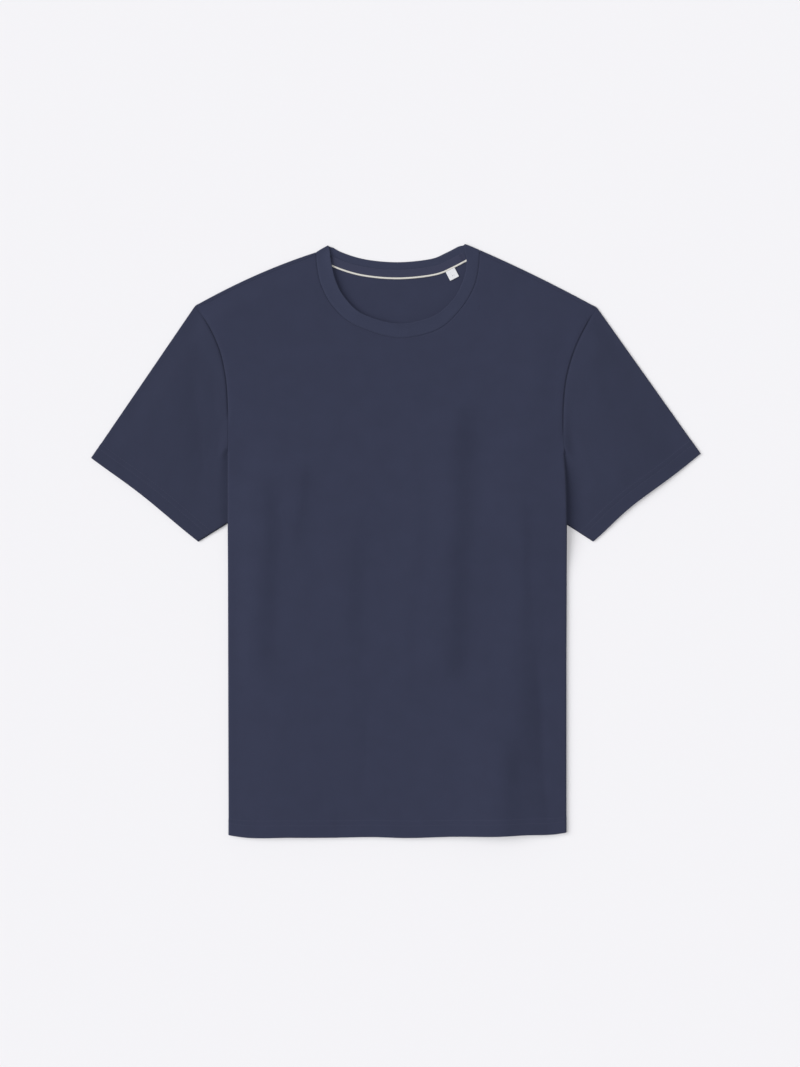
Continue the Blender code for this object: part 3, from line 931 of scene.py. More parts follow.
class NodeGraph:
    """A material's nodes, with short ways to add arithmetic."""

    def __init__(self, name: str) -> None:
        """Starts a material that has a Principled shader alone.

        Args:
            name: The material's name.
        """
        self.material = bpy.data.materials.new(name)
        self.material.use_nodes = True
        self.tree = self.material.node_tree
        self.shader = self.tree.nodes["Principled BSDF"]

    def math(self, operation: str, *values: float | Socket) -> Socket:
        """Adds a Math node.

        Args:
            operation: Blender's name of the operation.
            values: Its inputs, each a socket or a number.

        Returns:
            The node's output.
        """
        node = self.tree.nodes.new("ShaderNodeMath")
        node.operation = operation
        for socket, value in zip(node.inputs, values):
            if isinstance(value, bpy.types.NodeSocket):
                self.tree.links.new(value, socket)
            else:
                socket.default_value = value
        return node.outputs[0]

    def plus(self, first: Socket, second: float | Socket) -> Socket:
        """Adds a sum."""
        return self.math("ADD", first, second)

    def times(self, first: Socket, second: float | Socket) -> Socket:
        """Adds a product."""
        return self.math("MULTIPLY", first, second)

    def over(self, first: Socket, second: float) -> Socket:
        """Adds a division."""
        return self.math("DIVIDE", first, second)

    def wave(self, kind: str, turns: Socket, swing: float = 0.5) -> Socket:
        """Adds a wave that never rises over 1.

        Args:
            kind: SINE or COSINE.
            turns: How many times it has gone round.
            swing: How far it goes to each side of its mean.

        Returns:
            The wave's value.
        """
        wave = self.math(kind, self.times(turns, 2.0 * math.pi))
        return self.math("MULTIPLY_ADD", wave, swing, 1.0 - swing)

    def cloth_place(self) -> tuple[Socket, Socket, Socket]:
        """Adds the place in the cloth.

        Returns:
            Its two distances and the whole vector.
        """
        place = self.tree.nodes.new("ShaderNodeAttribute")
        place.attribute_name = "cloth"
        apart = self.tree.nodes.new("ShaderNodeSeparateXYZ")
        self.tree.links.new(place.outputs["Vector"], apart.inputs[0])
        return apart.outputs[0], apart.outputs[1], place.outputs["Vector"]

    def noise(self, vector: Socket, scale: float, detail: float = 2.0) -> Socket:
        """Adds noise, from about 0 to 1.

        Args:
            vector: The coordinates.
            scale: Features a metre.
            detail: The number of finer octaves.

        Returns:
            The noise's value.
        """
        node = self.tree.nodes.new("ShaderNodeTexNoise")
        node.inputs["Scale"].default_value = scale
        node.inputs["Detail"].default_value = detail
        self.tree.links.new(vector, node.inputs["Vector"])
        return node.outputs["Fac"]

    def shade(self, colour: Colour, share: Socket) -> None:
        """Sets the base colour to a colour times a share.

        Args:
            colour: Linear red, green and blue.
            share: What the colour is multiplied by.
        """
        node = self.tree.nodes.new("ShaderNodeVectorMath")
        node.operation = "SCALE"
        node.inputs[0].default_value = colour
        self.tree.links.new(share, node.inputs["Scale"])
        self.tree.links.new(node.outputs[0], self.shader.inputs["Base Color"])

    def bump(self, height: Socket, distance: float, strength: float) -> None:
        """Bends the shader's normal by a height.

        Args:
            height: The height, from 0 to 1.
            distance: What 1 stands for, in metres.
            strength: How much of it shows.
        """
        node = self.tree.nodes.new("ShaderNodeBump")
        node.inputs["Distance"].default_value = distance
        node.inputs["Strength"].default_value = strength
        self.tree.links.new(height, node.inputs["Height"])
        self.tree.links.new(node.outputs["Normal"], self.shader.inputs["Normal"])

    def surface(self, roughness: float, sheen: float = 0.0, sheen_tint: Colour = WHITE) -> None:
        """Sets how the surface takes light.

        Args:
            roughness: The roughness.
            sheen: The weight of the sheen of fine fibres.
            sheen_tint: Its linear colour.
        """
        self.shader.inputs["Roughness"].default_value = roughness
        self.shader.inputs["Sheen Weight"].default_value = sheen
        self.shader.inputs["Sheen Roughness"].default_value = SHEEN_ROUGHNESS
        self.shader.inputs["Sheen Tint"].default_value = (*sheen_tint, 1.0)
        self.shader.inputs["Specular IOR Level"].default_value = SPECULAR_LEVEL


@dataclass(frozen=True)
class Finish:
    """A finish by its name and its linear colour. Each kind builds its material in its own way."""

    name: str
    colour: Colour

    def material(self) -> bpy.types.Material:
        """Builds the material."""
        raise NotImplementedError


@dataclass(frozen=True)
class KnitFinish(Finish):
    """Weft knit in stocking stitch: columns of V shaped loops."""

    wale: float = 0.00080
    course: float = 0.00060
    slant: float = 0.8
    loop_swing: float = 0.3
    fibre_scale: float = 900.0
    patch_scale: float = 38.0
    patch_detail: float = 3.0
    brightness: float = 0.90
    mottle: float = 0.10
    blotch: float = 0.16
    # painted shade: how much darker the colour is drawn in the grooves between the loops
    groove_painted_shade: float = 0.16
    relief: float = 0.00012
    relief_share: float = 0.7
    fibre_relief: float = 0.5
    roughness: float = 0.88
    sheen: float = 0.10
    sheen_tint: Colour = (0.55, 0.60, 0.80)

    def material(self) -> bpy.types.Material:
        """Builds the knit.

        Returns:
            The material.
        """
        graph = NodeGraph(self.name)
        across, along, place = graph.cloth_place()
        wale = graph.math("FRACT", graph.over(across, self.wale))
        leg = graph.math("ABSOLUTE", graph.math("SUBTRACT", graph.times(wale, 2.0), 1.0))
        slanted = graph.plus(graph.over(along, self.course), graph.times(leg, self.slant))
        loop = graph.wave("COSINE", slanted, self.loop_swing)
        height = graph.times(loop, graph.math("SINE", graph.times(leg, math.pi)))
        fibre = graph.noise(place, self.fibre_scale)
        patch = graph.noise(place, self.patch_scale, self.patch_detail)
        share = graph.plus(graph.times(fibre, self.mottle), graph.times(patch, self.blotch))
        share = graph.plus(share, self.brightness - 0.5 * (self.mottle + self.blotch))
        # painted shade: the colour follows the loops' height, darker in their grooves
        graph.shade(self.colour, graph.plus(share, graph.times(height, self.groove_painted_shade)))
        rough = graph.plus(height, graph.times(fibre, self.fibre_relief))
        graph.bump(rough, self.relief, self.relief_share)
        graph.surface(self.roughness, self.sheen, self.sheen_tint)
        return graph.material


@dataclass(frozen=True)
class WovenFinish(Finish):
    """Narrow woven goods: a zigzag of fine ribs across the strip."""

    rib: float = 0.0009
    stripe: float = 0.0047
    slant: float = 2.2
    fibre_scale: float = 1400.0
    brightness: float = 0.94
    # painted shade: how much darker the ribs' valleys are drawn than their crests
    painted_relief_shade: float = 0.16
    mottle: float = 0.12
    relief: float = 0.00010
    relief_share: float = 0.7
    fibre_relief: float = 0.4
    roughness: float = 0.75
    sheen: float = 0.08
    sheen_tint: Colour = (0.8, 0.8, 0.9)

    def material(self) -> bpy.types.Material:
        """Builds the weave.

        Returns:
            The material.
        """
        graph = NodeGraph(self.name)
        along, across, place = graph.cloth_place()
        zigzag = graph.math("PINGPONG", across, self.stripe)
        run = graph.plus(graph.over(along, self.rib), graph.over(zigzag, self.stripe / self.slant))
        height = graph.wave("SINE", run)
        fibre = graph.noise(place, self.fibre_scale)
        # painted shade: the colour is lighter on the ribs' crests and darker between them, following their
        # height
        share = graph.plus(graph.times(height, self.painted_relief_shade), graph.times(fibre, self.mottle))
        graph.shade(self.colour, graph.plus(share, self.brightness - 0.5 * self.painted_relief_shade))
        rough = graph.plus(height, graph.times(fibre, self.fibre_relief))
        graph.bump(rough, self.relief, self.relief_share)
        graph.surface(self.roughness, self.sheen, self.sheen_tint)
        return graph.material


@dataclass(frozen=True)
class ThreadFinish(Finish):
    """Twisted sewing thread."""

    twist: float = 0.0005
    brightness: float = 0.85
    # painted shade: how much darker the twist's grooves are drawn
    painted_relief_shade: float = 0.3
    relief: float = 0.00005
    relief_share: float = 0.6
    roughness: float = 0.6

    def material(self) -> bpy.types.Material:
        """Builds the thread.

        Returns:
            The material.
        """
        graph = NodeGraph(self.name)
        along, across, _ = graph.cloth_place()
        turn = graph.plus(graph.over(along, self.twist), graph.over(across, 2.0 * self.twist))
        height = graph.wave("SINE", turn)
        # painted shade: the colour is darker in the twist's grooves, following its height
        graph.shade(self.colour, graph.plus(graph.times(height, self.painted_relief_shade), self.brightness))
        graph.bump(height, self.relief, self.relief_share)
        graph.surface(self.roughness)
        return graph.material


JERSEY = KnitFinish("navy_jersey", (0.0259, 0.0305, 0.0626))
# the sleeves' jersey is the body's colour painted darker: painted shade for the dimmer light that falls on
# the sleeves
SHADED_SLEEVE_JERSEY = KnitFinish("navy_jersey_painted_shade", (0.0246, 0.0290, 0.0588))
RIB_KNIT = KnitFinish("navy_rib", (0.0290, 0.0345, 0.0690), wale=0.00085, course=0.00062)
TAPE_WEAVE = WovenFinish("navy_tape", (0.0268, 0.0309, 0.0655))
CREAM_SATIN = WovenFinish("cream_edging", (0.66, 0.64, 0.60), rib=0.0007, stripe=0.0014, roughness=0.6)
LABEL_SATIN = WovenFinish(
    "white_label", (0.70, 0.705, 0.735), rib=0.0004, stripe=0.0061, slant=0.4, roughness=0.5, painted_relief_shade=0.06
)
SEWING_THREAD = ThreadFinish("navy_thread", (0.046, 0.052, 0.092))
MARK_THREAD = ThreadFinish("grey_thread", (0.16, 0.17, 0.19))


@dataclass
class Dresser:
    """Gives pieces their finishes and ties them to the frame."""

    body: str = "root"
    finishes: dict[str, bpy.types.Material] = field(default_factory=dict)

    def dress(self, piece: bpy.types.Object, finish: Finish, replaces: str | None = None) -> None:
        """Finishes one piece.

        Args:
            piece: The piece's object.
            finish: Its finish.
            replaces: The CAD node that it stands for, if there is one.
        """
        if finish.name not in self.finishes:
            self.finishes[finish.name] = finish.material()
        piece.data.materials.clear()
        piece.data.materials.append(self.finishes[finish.name])
        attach(piece, self.body)
        if replaces:
            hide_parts(replaces)
        LOG.info("%s: %d faces", piece.name, len(piece.data.polygons))


STITCH_SIDES = 6
# the rings round a stitch: share of its length, of its radius and of its ends' dip
STITCH_RINGS = (
    (-0.50, 0.25, 1.0),
    (-0.36, 0.85, 0.2),
    (0.00, 1.00, 0.0),
    (0.36, 0.85, 0.2),
    (0.50, 0.25, 1.0),
)


@dataclass(frozen=True)
class StitchLine:
    """A row of stitches, each a short piece of thread sunk in the cloth, with six flat sides."""

    pitch: float = 0.0030
    length: float = 0.0025
    radius: float = 0.00020
    sunk: float = 0.00006
    end_dip: float = 0.9

    def along(self, route: Array, normals: Array) -> Threads:
        """Lays stitches along a route.

        Args:
            route: Points on the cloth's surface, (n, 3).
            normals: The surface's normals there.

        Returns:
            The stitches' vertices, faces and places in the cloth.
        """
        lengths = arc_lengths(route)
        centres = self.pitch * (np.arange(max(int(lengths[-1] / self.pitch), 1)) + 0.5)
        rings, girths, dips = np.array(STITCH_RINGS).T
        at = centres[:, None] + self.length * rings
        place, up = (
            np.stack([np.interp(at, lengths, values[:, axis]) for axis in range(3)], axis=-1)
            for values in (route, normals)
        )
        ahead, up = unit(place[:, -1:] - place[:, :1]), unit(up)
        side = np.cross(up, np.broadcast_to(ahead, up.shape))
        place = place - up * (self.sunk + dips[:, None] * self.radius * self.end_dip)
        angles = 2.0 * math.pi * np.arange(STITCH_SIDES) / STITCH_SIDES
        circle = np.cos(angles)[:, None] * side[:, :, None] + np.sin(angles)[:, None] * up[:, :, None]
        points = place[:, :, None] + circle * (self.radius * girths)[:, None, None]
        index = np.arange(points.size // 3).reshape(points.shape[:-1])
        turned = np.roll(index, -1, axis=2)
        quads = np.stack([index[:, :-1], turned[:, :-1], turned[:, 1:], index[:, 1:]], axis=-1).reshape(-1, 4)
        caps = [self._caps(index[:, 0])[:, ::-1], self._caps(index[:, -1])]
        cloth = np.stack(np.broadcast_arrays(at[..., None], angles * self.radius), axis=-1)
        return points.reshape(-1, 3), np.concatenate([quads, *caps]), cloth.reshape(-1, 2)

    def _caps(self, ring: Indices) -> Indices:
        """Lists the two quads that close one end of each stitch."""
        return np.concatenate([ring[:, [0, 1, 2, 3]], ring[:, [0, 3, 4, 5]]])


def stitched(name: str, rows: Sequence[Threads]) -> bpy.types.Object:
    """Joins rows of stitches into one object.

    Args:
        name: The object's name.
        rows: What StitchLine.along gives for each row.

    Returns:
        The object.
    """
    points, faces, cloth = zip(*rows)
    starts = np.cumsum([0, *(len(row) for row in points)])
    numbered = [row + start for row, start in zip(faces, starts)]
    return mesh_object(name, np.concatenate(points), np.concatenate(numbered), np.concatenate(cloth))


@dataclass(frozen=True)
class Hem:
    """A hem turned up inside the cloth and sewn with two rows of stitches."""

    depth: float = 0.021
    needle_gap: float = 0.006
    swell: float = 0.00022
    swell_steps: Place = (0.0014, 0.0002)
    stitch_dent: float = 0.00016
    stitch_width: float = 0.0007
    dent_steps: tuple[float, ...] = (-0.0012, -0.0006, 0.0, 0.0006, 0.0012)
    edge_radius: float = 0.00055
    seam_radius: float = 0.0012

    @property
    def rows(self) -> Place:
        """The distances from the hem's edge to its two rows of stitches."""
        return self.depth - self.needle_gap, self.depth

    def lines(self, others: Sequence[float]) -> list[float]:
        """Gives the distances of the cloth's lines: others, and those that follow the stitches' dents."""
        return sorted([*others, *(row + step for row in self.rows for step in self.dent_steps)])

    def thickness(self, wall: float, to_edge: Array, to_seam: Array) -> tuple[Array, Array]:
        """Works out the cloth outside and inside the middle of a hemmed wall.

        Args:
            wall: The thickness of the plain cloth.
            to_edge: Distances to the hem's edge.
            to_seam: Distances to the nearest seam.

        Returns:
            The outer and the inner thickness.
        """
        half = 0.5 * wall
        start, full = self.swell_steps
        swell = self.swell * smooth_step(self.depth + start, self.depth + full, to_edge)
        dent = sum(np.exp(-(((to_edge - row) / self.stitch_width) ** 2)) for row in self.rows)
        edge = rounding(to_edge, self.edge_radius)
        outer = half + swell - self.stitch_dent * dent
        outer = outer * np.minimum(edge, rounding(to_seam, self.seam_radius))
        return outer, half * np.minimum(edge, rounding(to_seam, 0.5 * half))

    def stitches(self, name: str, wall: Wall, side: float, to_edge: Array) -> bpy.types.Object:
        """Lays the hem's two rows of stitches.

        Args:
            name: The stitches' name.
            wall: The wall that they are sewn in.
            side: 1 for the surface above its middle and -1 for the one below.
            to_edge: The distance from each of the wall's rows to the hem's edge.

        Returns:
            The stitches' object.
        """
        surface, normals = wall.surface(side), side * wall.normals()
        sewn = [int(np.argmin(np.abs(to_edge - row))) for row in self.rows]
        return stitched(name, [StitchLine().along(surface[row], normals[row]) for row in sewn])


@dataclass
class BodyPanel:
    """One panel of the body, from its hem to its neck and shoulders, with its flaps."""

    pattern: Pattern
    drape: Drape
    ply: Ply
    hem: Hem = Hem()
    flat_size: Place = (0.530, 0.729)
    cover: float = 0.85
    # columns of points from the centre line out, with a few close ones past the neck's corner
    neck_columns: int = 46
    shoulder_columns: int = 34
    corner_shares: tuple[float, ...] = (0.002, 0.005, 0.009)
    even_share: float = 0.014
    turn_columns: int = 10
    flap_columns: int = 12
    flap_crowding: float = 2.2
    turn_share: float = 0.4
    # rows of points: heights from the hem's edge, even stretches, then a fan up to the top edge
    edge_lines: tuple[float, ...] = (
        0.0, 0.00006, 0.00018, 0.00035, 0.00055, 0.0009, 0.0015, 0.0025, 0.0045, 0.007, 0.010, 0.0125, 0.0180
    )
    hem_margins: Place = (0.0024, 0.0045)
    body_lines: tuple[float, int] = (0.370, 72)
    armpit_lines: tuple[float, float, int] = (0.373, 0.482, 38)
    chest_lines: tuple[float, int] = (0.486, 12)
    fan_lines: int = 34
    fan_margin: float = 0.0015
    top_lines: tuple[float, ...] = (
        0.0042, 0.0028, 0.0018, 0.0012, 0.0008, 0.0005, 0.0003, 0.00014, 0.00004, 0.0
    )
    # the back panel's rows over the shoulder, and what keeps it thick there
    shoulder_lines: int = 10
    open_lines: int = 14
    open_reach: float = 3.0
    run_on_radius: float = 1.2

    def columns(self, flank: Flank) -> tuple[Array, Array, int]:
        """Spaces the columns from the centre line out.

        Args:
            flank: The side of the shirt.

        Returns:
            Each column's share of the width and its place round the fold, and the corner's index.
        """
        line, corner = self.pattern.top_line(self.ply, flank)
        line = line[: corner + 1]
        run = arc_lengths(line)
        even = np.interp(np.linspace(0.0, run[-1], self.neck_columns), run, np.arange(corner + 1.0))
        numbers = np.maximum.accumulate(self._column_at(flank, line))
        neck = np.interp(even, np.arange(corner + 1.0), numbers)
        steps = np.concatenate([self.corner_shares, np.linspace(self.even_share, 1.0, self.shoulder_columns)])
        shares = np.concatenate([neck, neck[-1] + (1.0 - neck[-1]) * steps])
        turn = np.linspace(0.0, 1.0, self.turn_columns + 1)[1:]
        flap = 2.0 - (1.0 - np.linspace(0.0, 1.0, self.flap_columns + 1)[1:]) ** self.flap_crowding
        folds = np.concatenate([np.zeros(len(shares)), turn, flap])
        return np.concatenate([shares, np.ones(self.turn_columns + self.flap_columns)]), folds, len(neck) - 1

    def _column_at(self, flank: Flank, places: Array) -> Array:
        """Finds which column passes a place above the fold.

        Args:
            flank: The side of the shirt.
            places: Places, (n, 2) as (distance from the centre line, height).

        Returns:
            Up to 1 on the body, and up to 2 beyond the fold.
        """
        start = self.pattern.half_width(flank, places[:, 1]) - self.pattern.fold_reach
        across = places[:, 0]
        return np.where(across <= start, across / start, 1.0 + (across - start) / self.pattern.fold_reach)

    def tops(self, flank: Flank, shares: Array, folds: Array) -> Array:
        """Gives the height at which each column ends.

        Args:
            flank: The side of the shirt.
            shares: Each column's share of the width.
            folds: Each column's place round the fold.

        Returns:
            The heights.
        """
        line, _ = self.pattern.top_line(self.ply, flank)
        numbers = np.maximum.accumulate(self._column_at(flank, line))
        turn = self.turn_share
        beyond = np.where(folds <= 1.0, turn * folds, turn + (1.0 - turn) * (folds - 1.0))
        return np.interp(shares + beyond, numbers, line[:, 1])

    def level_rows(self) -> Array:
        """Spaces the level rows, closer at the hem's edge, at its stitches and at the armpit.

        Returns:
            The rows' heights above the hem.
        """
        last, start = (self.hem.depth + margin for margin in self.hem_margins)
        end, count = self.body_lines
        chest, chest_count = self.chest_lines
        return np.concatenate([
            self.hem.lines([*self.edge_lines, last]),
            np.linspace(start, end, count),
            np.linspace(*self.armpit_lines),
            np.linspace(chest, self.pattern.straight_top, chest_count),
        ])

    def heights(self, tops: Array) -> Array:
        """Spaces all the rows, which fan out from the level ones to the top edge.

        Args:
            tops: The height at which each column ends.

        Returns:
            The height of every row at every column.
        """
        level, near = self.level_rows(), np.array(self.top_lines)
        start = self.pattern.straight_top
        shares = np.linspace(0.0, 1.0, self.fan_lines + 1)[1:, None]
        fan = start + (tops - near[0] - self.fan_margin - start) * shares
        return np.concatenate([np.repeat(level[:, None], len(tops), axis=1), fan, tops - near[:, None]])

    def half(self, flank: Flank) -> dict[str, NDArray]:
        """Works out half of the panel.

        Args:
            flank: The side of the shirt.

        Returns:
            What Wall takes for half of it, from the centre line out. The back's also says which
            cells are cloth, as "keep".
        """
        plan = self.pattern
        shares, folds, corner = self.columns(flank)
        height = self.heights(self.tops(flank, shares, folds))
        across = shares * (plan.half_width(flank, height) - plan.fold_reach)
        level = plan.middle_level(self.ply) + plan.lift(flank, across, height)
        out, down, left = plan.turn(self.ply, height, np.broadcast_to(folds, height.shape))
        across = across + out
        x = flank.value * across
        facing = np.where(folds > 0, self._facing(height), 1.0)
        level = level - down + self.drape.rise(self.ply, np.stack([x, height], axis=-1)) * facing
        line, _ = plan.top_line(self.ply, flank)
        to_top = np.full(height.shape, FAR)
        upper = height > plan.straight_top
        to_top[upper] = distance_to(line[::2], np.stack([across, height], axis=-1)[upper])
        to_top[-1] = 0.0
        outer, inner = self.hem.thickness(plan.wall, height, np.minimum(to_top, left))
        above, below = (outer, inner) if self.ply is Ply.FRONT else (inner, outer)
        run = shares * plan.half_width(flank, height) + np.where(folds > 0, plan.flap - left, 0.0)
        grids = {
            "middle": plan.placed(np.stack([x, height + plan.hem_rise(x, height)], axis=-1), level),
            "above": above,
            "below": below,
            "cloth": np.stack([flank.value * run, height], axis=-1),
        }
        return grids if self.ply is Ply.FRONT else self._over_shoulder(grids, flank, corner)

    def _facing(self, height: Array) -> Array:
        """Gives how far the cloth beyond the fold still faces up, from 1 to 0."""
        plan = self.pattern
        return smooth_step(plan.fold_top - 0.5 * plan.turn_length, plan.fold_top, height)

    def _over_shoulder(self, grids: dict[str, Array], flank: Flank, corner: int) -> dict[str, NDArray]:
        """Adds the rows that bring the back panel over the shoulder to the front's level.

        Args:
            grids: The panel's half, as half makes it.
            flank: The side of the shirt.
            corner: The index of the corner's column.

        Returns:
            The half with its new rows, and which of its cells are cloth as "keep".
        """
        plan, radius, sizes = self.pattern, self.pattern.turn_radius, FLANK_SIZES[flank]
        top = grids["middle"][-1]
        inward = right_of(unit(np.gradient(top[:, :2], axis=0))) * flank.value
        inward[: corner + 1] = inward[corner + 1]
        start = sizes.neck_corner[0] + plan.corner_gap
        t = (np.abs(top[:, 0]) - start) / (sizes.shoulder_point[0] - start)
        reach = plan.seam_inset(t) - radius - 0.5 * plan.wall + plan.seam_overlap
        steps = np.linspace(0.0, 1.0, self.shoulder_lines + 1)[1:, None]
        flat = reach * (1.0 - (1.0 - steps) ** 2)
        turns = np.broadcast_to(math.pi * steps, flat.shape)
        outs = np.concatenate([radius * np.sin(turns), -flat])
        ups = np.concatenate([radius * (1.0 - np.cos(turns)), np.full(flat.shape, 2.0 * radius)])
        left = np.concatenate([np.broadcast_to(reach, flat.shape), reach - flat])
        run = np.concatenate([radius * turns, math.pi * radius + flat])
        half = 0.5 * plan.wall
        self._keep_shoulder_open(grids, corner)
        new = {
            "middle": top + np.concatenate([-outs[..., None] * inward, ups[..., None]], axis=-1),
            "above": half * rounding(left, 0.5 * half),
            "below": half * rounding(left, self.run_on_radius * half),
            "cloth": grids["cloth"][-1] + np.stack([np.zeros_like(run), run], axis=-1),
        }
        rows, columns = grids["above"].shape
        keep = np.ones((rows + len(run) - 1, columns - 1), bool)
        keep[rows - 1 :, :corner] = False
        return {"keep": keep} | {key: np.concatenate([grids[key], new[key]]) for key in new}

    def _keep_shoulder_open(self, grids: dict[str, Array], corner: int) -> None:
        """Gives the back panel its full thickness at the shoulder, where its cloth runs on.

        Args:
            grids: The panel's half, whose thicknesses are changed.
            corner: The index of the corner's column.
        """
        rows, columns = grids["above"].shape
        to_top = np.linalg.norm(grids["middle"][-1:] - grids["middle"], axis=-1)
        near = (to_top < self.open_reach * self.hem.seam_radius) & (np.arange(columns) > corner)
        near &= np.arange(rows)[:, None] > rows - self.open_lines
        for side in ("above", "below"):
            grids[side][near] = np.maximum(grids[side][near], 0.5 * self.pattern.wall)

    def wall(self) -> Wall:
        """Joins the two halves.

        Returns:
            The panel's wall.
        """
        left, right = self.half(Flank.LEFT), self.half(Flank.RIGHT)
        joined = {}
        if self.ply is Ply.BACK:
            joined["keep"] = np.concatenate([left.pop("keep")[:, ::-1], right.pop("keep")], axis=1)
        for key, grid in left.items():
            joined[key] = np.concatenate([grid[:, ::-1], right[key][:, 1:]], axis=1)
        return Wall(**joined)

    def build(self, dresser: Dresser) -> bpy.types.Object:
        """Builds and dresses the panel and its hem stitches.

        Args:
            dresser: Gives the pieces their finishes.

        Returns:
            The panel's object.
        """
        name = self.ply.name.lower()
        wall = self.wall()
        panel = wall.mesh_object(f"{name}_jersey")
        dresser.dress(panel, JERSEY, f"{name}_panel")
        side = 1.0 if self.ply is Ply.FRONT else -1.0
        stitches = self.hem.stitches(f"{name}_hem_stitches", wall, side, self.level_rows())
        dresser.dress(stitches, SEWING_THREAD)
        return panel


@dataclass
class Sleeve:
    """A short sleeve folded flat along its top edge, with its inner end tucked under the body."""

    pattern: Pattern
    drape: Drape
    flank: Flank
    hem: Hem = Hem()
    flat_size: Place = (0.450, 0.225)
    cover: float = 0.6
    # how far each thing is felt: the body's lift, the tucked end, the top edge and the cuff
    lift_reach: float = 0.018
    free_reach: float = 0.030
    top_reach: float = 0.006
    cuff_reach: float = 0.050
    cuff_loft: float = 0.45
    seam_fade: float = 0.004
    lift_start: float = 0.002
    ridge_heights: tuple[float, float, float, float] = (0.362, 0.400, 0.455, 0.500)
    ridge_groove: float = 0.0045
    ridge_reach: float = 0.024
    # lines of points across the sleeve, then along it from the seam and back from the cuff's edge
    seam_columns: int = 52
    hidden_columns: int = 12
    hidden_crowding: float = 1.5
    turn_facets: int = 10
    seam_lines: tuple[float, ...] = (
        0.0, 0.00005, 0.00015, 0.0003, 0.0005, 0.0008, 0.0012, 0.0018, 0.0030, 0.0050
    )
    lines_between: int = 34
    edge_lines: tuple[float, ...] = (
        0.0, 0.00006, 0.00018, 0.00035, 0.00055, 0.0009, 0.0015, 0.0028, 0.0050, 0.0080, 0.0110, 0.0180
    )
    hem_margin: float = 0.003

    def armhole(self) -> Array:
        """Lays the inner end, from the shoulder point down the seam and on to the underarm.

        Returns:
            Places, (n, 2) as (distance from the centre line, height).
        """
        plan = self.pattern
        tip = plan.shoulder(self.flank, np.ones(1), plan.turn_radius + 0.5 * plan.wall)[0]
        heights = np.linspace(tip[1], plan.fold_top, self.seam_columns)
        seam = np.stack([plan.half_width(self.flank, heights) - plan.seam_overlap, heights], axis=1)
        share = np.linspace(0.0, 1.0, self.hidden_columns + 1)[1:]
        share = 1.0 - (1.0 - share) ** self.hidden_crowding
        hidden = plan.fold_top - (plan.fold_top - plan.underarm_height) * share
        under = np.stack([plan.half_width(self.flank, hidden) - plan.flap_width(hidden), hidden], axis=1)
        return np.concatenate([seam, under])

    def cuff(self, inner: Array) -> Array:
        """Lays the cuff on an edge that bows inwards.

        Args:
            inner: The inner end, as armhole gives it.

        Returns:
            The cuff's end of each line across the sleeve.
        """
        plan, sizes = self.pattern, FLANK_SIZES[self.flank]
        bottom = np.array(sizes.cuff_bottom)
        start = np.array(sizes.cuff_top) - self.outward() * (plan.turn_radius + 0.5 * plan.wall)
        lengths = arc_lengths(inner)
        share = (lengths / lengths[-1])[:, None]
        depth, deepest = sizes.cuff_bow
        bow = depth * np.sin(math.pi * share ** (math.log(0.5) / math.log(deepest))) ** 2
        return start + (bottom - start) * share + bow * right_of(unit(bottom - start))

    def outward(self) -> Array:
        """Gives the direction square to the sleeve's top edge, away from the sleeve."""
        sizes = FLANK_SIZES[self.flank]
        return -right_of(unit(np.array(sizes.cuff_top) - np.array(sizes.shoulder_point)))

    def distances(self, lengths: Array) -> Array:
        """Spaces the rows from the seam to the cuff, closer at both ends and at the stitches.

        Args:
            lengths: The length of each line across the sleeve.

        Returns:
            Distances from the seam, (rows, lines).
        """
        near = np.array(self.seam_lines)
        far = np.array(self.hem.lines([*self.edge_lines, self.hem.depth + self.hem_margin]))[::-1]
        shares = np.linspace(0.0, 1.0, self.lines_between + 2)[1:-1, None]
        between = near[-1] + (lengths - far[0] - near[-1]) * shares
        fixed = np.repeat(near[:, None], len(lengths), axis=1)
        return np.concatenate([fixed, between, lengths - far[:, None]])

    def wall(self) -> Wall:
        """Works out the sleeve's cloth, from the front's inner end over the top edge to the back's.

        Returns:
            The sleeve's wall.
        """
        plan = self.pattern
        inner = self.armhole()
        outer = self.cuff(inner)
        lengths = np.linalg.norm(outer - inner, axis=1)
        along = self.distances(lengths)
        line = inner + (outer - inner) * (along / lengths)[..., None]
        back, front = self.levels(line, inner[:, 1], along, lengths - along)
        turns = np.linspace(0.0, math.pi, self.turn_facets + 1)[1:-1]
        upper = np.concatenate([line, front[..., None]], axis=-1)[:, ::-1]
        lower = np.concatenate([line, back[..., None]], axis=-1)
        fold = self._fold(line[:, 0], 0.5 * (front + back)[:, 0], turns)
        loop = np.concatenate([upper, fold, lower], axis=1)
        on_fold = np.repeat(along[:, :1], len(turns), axis=1)
        to_seam = np.concatenate([along[:, ::-1], on_fold, along], axis=1)
        ends = np.concatenate([lengths[::-1], np.full(len(turns), lengths[0]), lengths])
        run = arc_lengths(loop[len(loop) // 2])
        to_under = np.minimum(to_seam, np.minimum(run, run[-1] - run))
        cloth = np.stack([np.broadcast_to(run - run[upper.shape[1]], to_seam.shape), to_seam], axis=-1)
        middle = plan.placed(loop[..., :2] * (self.flank.value, 1.0), loop[..., 2])
        thick = self.hem.thickness(plan.wall, ends - to_seam, to_under)
        return Wall(middle, *thick, cloth, facing=float(-self.flank.value))

